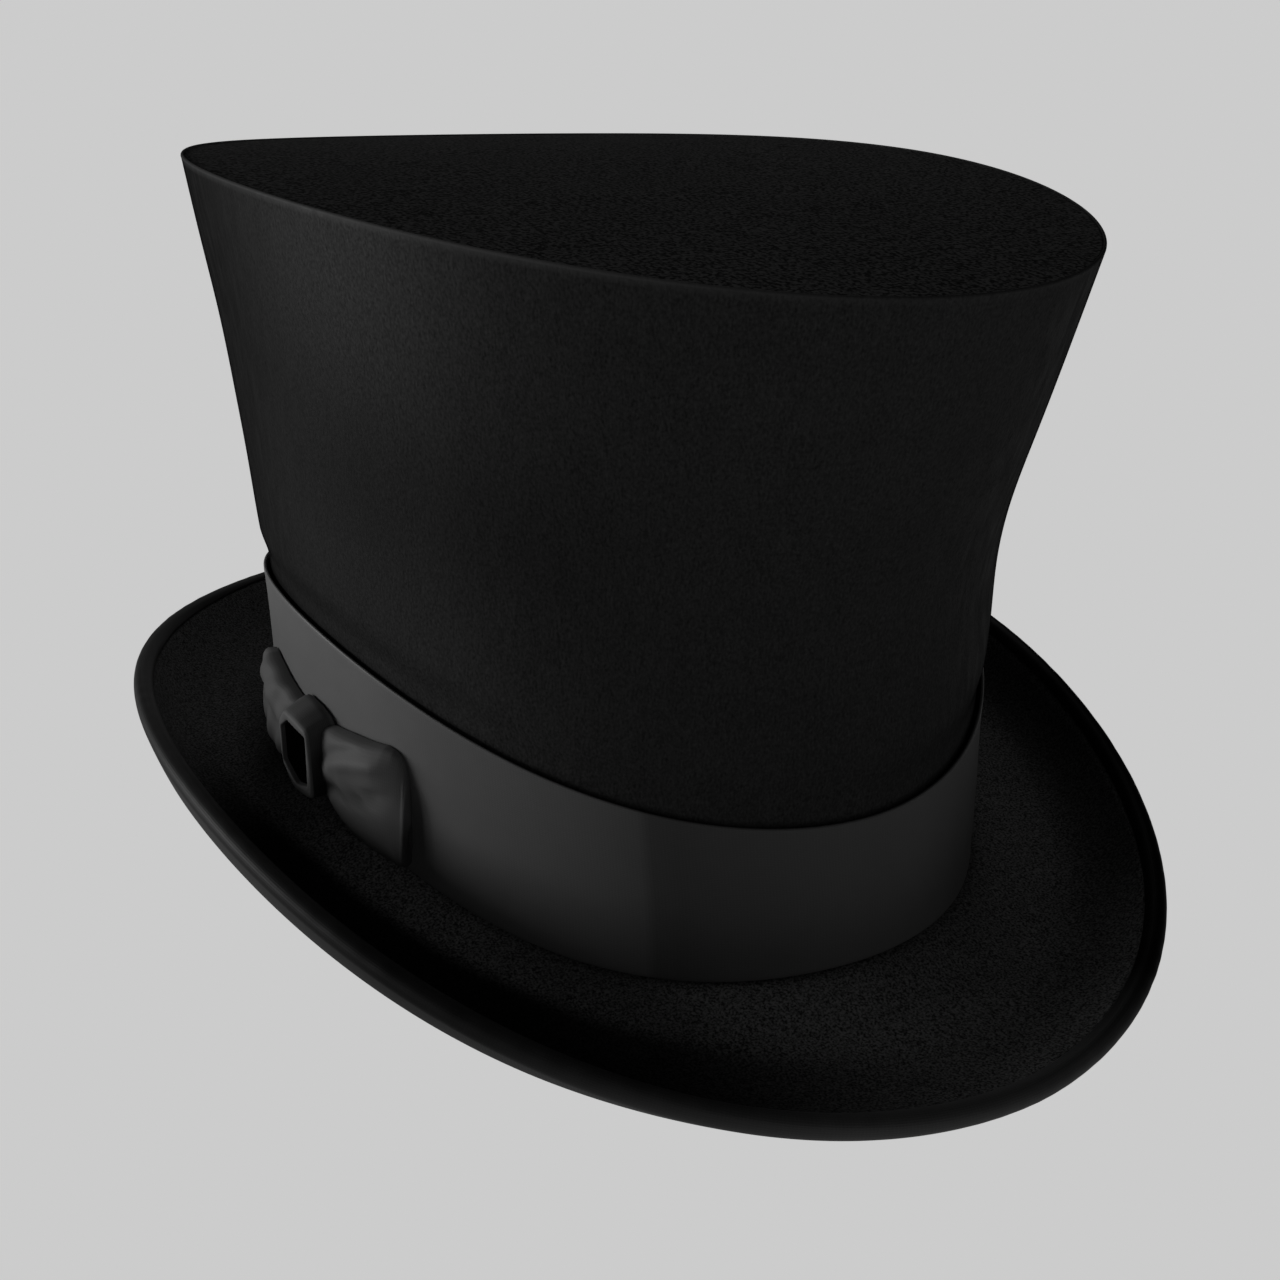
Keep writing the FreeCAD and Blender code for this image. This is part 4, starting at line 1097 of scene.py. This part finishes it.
def leather(level, off, side_):
    k = np.clip((level - 9.0) / 34.0, 0, 1)
    line = -0.22 * bump_at(level, 41.6, 0.45) - 0.16 * bump_at(level, 13.48, 0.8)
    return crown(level, off + (sw + crease) * k * (1 - 0.3 * k) - line * side_, th_in)


low_l, top_l = LOW - 1.6, 45.0
lv = np.concatenate([np.linspace(low_l + 0.6, 12, 5), np.linspace(12.4, 14.6, 9), np.linspace(16, 40, 14),
                     np.linspace(40.6, 42.6, 9), np.linspace(43, top_l - 0.6, 4)])
rows = [leather(l, -LS, 0.0) for l in lv]
for a in np.linspace(0, PI, 7)[1:-1]:
    rows.append(crown(top_l - 0.6 + 0.6 * math.sin(a), -LS - LT / 2 + LT / 2 * math.cos(a) + (sw + crease) * 0.7, th_in))
rows += [leather(l, -LS - LT, 1.0) for l in lv[::-1]]
for a in np.linspace(0, PI, 7)[1:-1]:
    rows.append(crown(low_l + 0.6 - 0.6 * math.sin(a), -LS - LT / 2 - LT / 2 * math.cos(a), th_in))
sweat = lofted("sweatband_leather", rows, MAT["sweat_leather"])
finish_piece(sweat, ["sweatband"])

# reed roll along the sweatband's lower edge
rows = []
for a in np.linspace(0, TAU, 14, endpoint=False):
    p = crown(LOW, -LS - 0.95 + 0.9 * math.cos(a), ring(480))
    p[:, 2] += -1.6 - GAP - 0.9 + 0.9 * math.sin(a)
    rows.append(p)
reed = lofted("sweatband_reed_roll", rows, MAT["reed_plastic"])
finish_piece(reed, ["sweatband_reed"])

# side lining: satin gathered into small upright pleats
DL = D1 + GAP
LT2 = 0.5
pleats = 0.5 + 0.5 * np.sin(108 * ring(864) + 1.2 * np.sin(5 * ring(864)))
th_ln = ring(864)
soft_l = 0.2 + 0.2 * np.sin(7 * th_ln + 1.0)
ln_top = RIM - (0.3 + FELT + GAP + 2.0 + GAP) - LT2 - GAP
lv = np.concatenate([np.linspace(24.0, 50, 6, endpoint=False), np.linspace(50, ln_top, 30)])


def lining(level, extra):
    k = np.interp(level, [24, 40, 60, 120, ln_top], [0.1, 0.35, 1.0, 1.0, 0.8])
    return crown(level, neck(level) - DL - extra - (0.55 * pleats ** 1.5 + soft_l) * k, th_ln)


rows = closed_wall(lv, lambda l: lining(l, 0.0), lambda l: lining(l, LT2))
side_ln = lofted("side_lining_satin", rows, MAT["lining_satin"])
finish_piece(side_ln, ["side_lining"])

# tip lining: satin gathered towards its middle
th_tl = ring(480)
drop = 0.3 + FELT + GAP + 2.0 + GAP


def tip_lining_rows(low_side):
    out = []
    for s_ in np.sin(np.linspace(0.05, PI / 2, 26)):
        p = tip_ring(s_, DL, drop + (LT2 if low_side else 0.0), th_tl)
        g_ = (0.28 * (1 + np.sin(60 * th_tl + 2.0 * np.sin(3 * th_tl))) * min(1.0, 3.0 * s_ * s_)
              + 0.25 * (1 + np.sin(0.07 * p[:, 0] + 1) * np.sin(0.06 * p[:, 1])))
        p[:, 2] -= g_
        out.append(p)
    return out


lo_rows, hi_rows = tip_lining_rows(True), tip_lining_rows(False)
rows = lo_rows + hi_rows[::-1]
p_lo, p_hi = lo_rows[0].mean(0), hi_rows[0].mean(0)
tip_ln = lofted("tip_lining_satin", rows, MAT["lining_satin"], False, p_lo, p_hi)
finish_piece(tip_ln, ["tip_lining"])


def thread_row(name, points, tangents, normals, length, radius, material, lift_=0.75):
    """Short stitches: each rises out of the cloth, runs along it and dips back in."""
    secs, around = 9, 8
    verts, faces = [], []
    for p, t, n in zip(points, tangents, normals):
        t, n = unit(t), unit(n)
        b = unit(np.cross(t, n))
        base = len(verts)
        for i in range(secs):
            x = -1 + 2 * i / (secs - 1)
            c = p + t * (x * length / 2) + n * (radius * (lift_ - 1.9 * abs(x) ** 3))
            r = radius * (1 - 0.45 * x ** 6)
            for k in range(around):
                a = TAU * k / around
                verts.append(c + n * (r * math.cos(a)) + b * (r * math.sin(a)))
        for i in range(secs - 1):
            for k in range(around):
                k2 = (k + 1) % around
                faces.append([base + i * around + k, base + i * around + k2,
                              base + (i + 1) * around + k2, base + (i + 1) * around + k])
        faces.append([base + k for k in range(around)])
        faces.append([base + (secs - 1) * around + k for k in range(around)][::-1])
    verts = np.array(verts)
    q = np.array([f for f in faces if len(f) == 4])
    if volume(verts, q) < 0:
        faces = [f[::-1] for f in faces]
    return mesh_object(name, verts, faces, None, material)


def stitches_on(name, fn, count, material, length=2.6, radius=0.2, flip=1.0):
    th = TAU * (np.arange(count) + 0.5) / count
    p, q = fn(th), fn(th + 1e-3)
    t = q - p
    nrm = flip * unit(np.cross(t, fn(th, 0.4) - p))
    return thread_row(name, p, t, nrm, length, radius, material)


def sweat_line(th, up=0.0):
    return crown(LOW + 4.0 + up, -LS - LT - 0.08, th)


st = stitches_on("sweatband_stitch_row", sweat_line, 96, MAT["sweat_thread"], flip=-1.0)
finish_piece(st, ["sweatband_stitches"])


def bind_line(th, up=0.0):
    return brim_end(LEG + 0.35 - up, TOTAL + 0.15, th)


bs = stitches_on("binding_stitch_row", bind_line, 110, MAT["thread"], flip=-1.0)
finish_piece(bs, ["binding_stitches"])

# tacks just inside the band's upper edge
tk_th = np.radians([35, 145, 235, 325])
tk_p = crown(BAND_TOP - 1.2, BAND_STAND - BAND_THICK * 0.5, tk_th)
tk_t = crown(BAND_TOP - 0.6, BAND_STAND - BAND_THICK * 0.5, tk_th) - tk_p
tk_n = crown(BAND_TOP - 1.2, BAND_STAND + 1.0, tk_th) - tk_p
tk = thread_row("band_tack_threads", tk_p, tk_t, tk_n, 1.6, 0.16, MAT["thread"])
finish_piece(tk, ["band_tacks"])


# small ribbon bow at the back of the sweatband
def strip_loop(name_, path, half, thick, material):
    """A flat ribbon on edge that follows a closed path in plan."""
    path = np.asarray(path)
    nxt, prv = np.roll(path, -1, 0), np.roll(path, 1, 0)
    t = unit(nxt - prv)
    n = np.stack([t[:, 1], -t[:, 0]], -1)
    rows_ = []
    hs = half if hasattr(half, "__len__") else np.full(len(path), half)
    for i, p in enumerate(path):
        ring_ = []
        for a, b in ((-1, -1), (-1, -0.6), (-1, 0), (-1, 0.6), (-1, 1), (1, 1), (1, 0.6), (1, 0), (1, -0.6), (1, -1)):
            q = p[:2] + n[i] * (a * thick / 2)
            ring_.append([q[0], q[1], p[2] + hs[i] * b])
        rows_.append(ring_)
    return rows_


base = crown(34.0, -LS - LT, np.array([-PI / 2]))[0]
bow_parts = []
a_ = np.linspace(0, TAU, 48, endpoint=False)
for sg in (-1, 1):
    reach = 8.4
    x = base[0] + sg * (0.5 + reach * (0.5 - 0.5 * np.cos(a_)))
    y = base[1] + 1.45 + 0.62 * np.sin(a_) * np.abs(np.sin(a_ / 2)) ** 0.6
    z = base[2] + 0.25 * (0.5 - 0.5 * np.cos(a_)) * sg
    half = 0.9 + 0.75 * (0.5 - 0.5 * np.cos(a_))
    bow_parts.append(strip_loop("x", np.stack([x, y, z], -1), half, 0.28, None))
verts, faces = [], []
for rows_ in bow_parts:
    arr = np.array(rows_)
    nv, nu = arr.shape[:2]
    b0_ = len(verts)
    verts += list(arr.reshape(-1, 3))
    fs = []
    for i in range(nv):
        for k in range(nu):
            i2, k2 = (i + 1) % nv, (k + 1) % nu
            fs.append([b0_ + i * nu + k, b0_ + i * nu + k2, b0_ + i2 * nu + k2, b0_ + i2 * nu + k])
    if volume(np.array(verts), np.array(fs)) < 0:
        fs = [f[::-1] for f in fs]
    faces += fs
# knot: a soft wrapped band
kn = []
for i, zz in enumerate(np.linspace(-1.9, 1.9, 9)):
    r = 1.35 + 0.25 * math.cos(zz * 0.9)
    kn.append([[base[0] + r * 1.1 * math.cos(a), base[1] + 1.5 + 0.85 * math.sin(a), base[2] + zz] for a in ring(20)])
arr = np.array(kn)
nv, nu = arr.shape[:2]
b0_ = len(verts)
verts += list(arr.reshape(-1, 3))
fs = []
for i in range(nv - 1):
    for k in range(nu):
        k2 = (k + 1) % nu
        fs.append([b0_ + i * nu + k, b0_ + i * nu + k2, b0_ + (i + 1) * nu + k2, b0_ + (i + 1) * nu + k])
if volume(np.array(verts), np.array(fs)) < 0:
    fs = [f[::-1] for f in fs]
    ends = [[b0_ + k for k in range(nu)], [b0_ + (nv - 1) * nu + k for k in range(nu)][::-1]]
else:
    ends = [[b0_ + k for k in range(nu)][::-1], [b0_ + (nv - 1) * nu + k for k in range(nu)]]
faces += fs + ends
small_bow = mesh_object("sweatband_ribbon_bow", np.array(verts), faces, None, MAT["trim_ribbon"])
finish_piece(small_bow, ["sweatband_bow"])

# =====================================================================
# Stage, light, camera
# =====================================================================
PAPER = 0.604
FLOOR_GLOW, SKY_GLOW = 0.222, 0.0015
fm = Nodes("pale_floor")
fm.t.nodes.remove(fm.b)
seen = fm.n("ShaderNodeEmission")
em = fm.n("ShaderNodeEmission")
df = fm.n("ShaderNodeBsdfDiffuse")
tr = fm.n("ShaderNodeBsdfTransparent")
geo = fm.n("ShaderNodeNewGeometry")
path = fm.n("ShaderNodeLightPath")
add = fm.n("ShaderNodeAddShader")
direct = fm.n("ShaderNodeMixShader")
mix = fm.n("ShaderNodeMixShader")
seen.inputs["Color"].default_value = (PAPER, PAPER, PAPER, 1)
em.inputs["Color"].default_value = (1, 1, 1, 1)
em.inputs["Strength"].default_value = FLOOR_GLOW
df.inputs["Color"].default_value = (0.1, 0.1, 0.1, 1)
fm.link(em.outputs[0], add.inputs[0])
fm.link(df.outputs[0], add.inputs[1])
fm.link(path.outputs["Is Camera Ray"], direct.inputs[0])
fm.link(add.outputs[0], direct.inputs[1])
fm.link(seen.outputs[0], direct.inputs[2])
fm.link(geo.outputs["Backfacing"], mix.inputs[0])
fm.link(direct.outputs[0], mix.inputs[1])
fm.link(tr.outputs[0], mix.inputs[2])
fm.link(mix.outputs[0], fm.out.inputs["Surface"])
floor = mesh_object("floor", np.array([[-60000, -60000, 0], [60000, -60000, 0],
                                       [60000, 60000, 0], [-60000, 60000, 0]], float),
                    [[0, 1, 2, 3]], None, fm.m, False)

world = bpy.data.worlds.new("studio")
bpy.context.scene.world = world
world.use_nodes = True
bg = world.node_tree.nodes["Background"]
bg.inputs["Color"].default_value = (PAPER, PAPER, PAPER, 1)
bg.inputs["Strength"].default_value = 1.0
sky = world.node_tree.nodes.new("ShaderNodeBackground")
sky.inputs["Color"].default_value = (1, 1, 1, 1)
sky.inputs["Strength"].default_value = SKY_GLOW
lp = world.node_tree.nodes.new("ShaderNodeLightPath")
wm = world.node_tree.nodes.new("ShaderNodeMixShader")
world.node_tree.links.new(lp.outputs["Is Camera Ray"], wm.inputs[0])
world.node_tree.links.new(sky.outputs[0], wm.inputs[1])
world.node_tree.links.new(bg.outputs[0], wm.inputs[2])
world.node_tree.links.new(wm.outputs[0], world.node_tree.nodes["World Output"].inputs["Surface"])


def area_light(name, where, aim, size, power, spread=None):
    d = bpy.data.lights.new(name, "AREA")
    d.shape = "RECTANGLE"
    d.size, d.size_y = size
    d.energy = power
    if spread:
        d.spread = spread
    o = bpy.data.objects.new(name, d)
    o.location = where
    o.rotation_mode = "QUATERNION"
    o.rotation_quaternion = (Vector(aim) - Vector(where)).to_track_quat("-Z", "Y")
    bpy.context.scene.collection.objects.link(o)
    return o


def from_sky(azimuth, elevation, distance):
    a, e = math.radians(azimuth), math.radians(elevation)
    return (distance * math.cos(e) * math.cos(a), distance * math.cos(e) * math.sin(a),
            0.07 + distance * math.sin(e))


for light_name, azimuth, elevation, power in (
        ("key", 143, 8, 15.8), ("key_side", 165, 8, 6.4), ("fill_high", -110, 25, 1.2),
        ("fill_low", -90, 8, 1.2), ("fill_right", -30, 25, 0.7), ("right_high", -20, 40, 0.4),
        ("back_high", 60, 45, 2.5)):
    wide = 1.0 if light_name.startswith("key") else 0.7
    area_light(light_name, from_sky(azimuth, elevation, 2.2), (0, 0, 0.07), (wide, 0.7), power)

cam_data = bpy.data.cameras.new("view")
cam = bpy.data.objects.new("view", cam_data)
bpy.context.scene.collection.objects.link(cam)
right = Vector((0.84462521, -0.53349975, 0.04456753))
up = Vector((0.19372948, 0.38218902, 0.90354881))
back = -Vector((0.49907628, 0.75452606, -0.42616111))
m = Matrix((right, up, back)).transposed().to_4x4()
m.translation = Vector((-179.6285, -285.72647, 193.62528)) * 0.001
cam.matrix_world = m
cam_data.sensor_width = 36.0
cam_data.lens = 1413.6742 / 1280 * 36.0
cam_data.clip_start, cam_data.clip_end = 0.01, 200.0
bpy.context.scene.camera = cam
bpy.context.scene.view_settings.view_transform = "Standard"
bpy.context.scene.view_settings.look = "None"
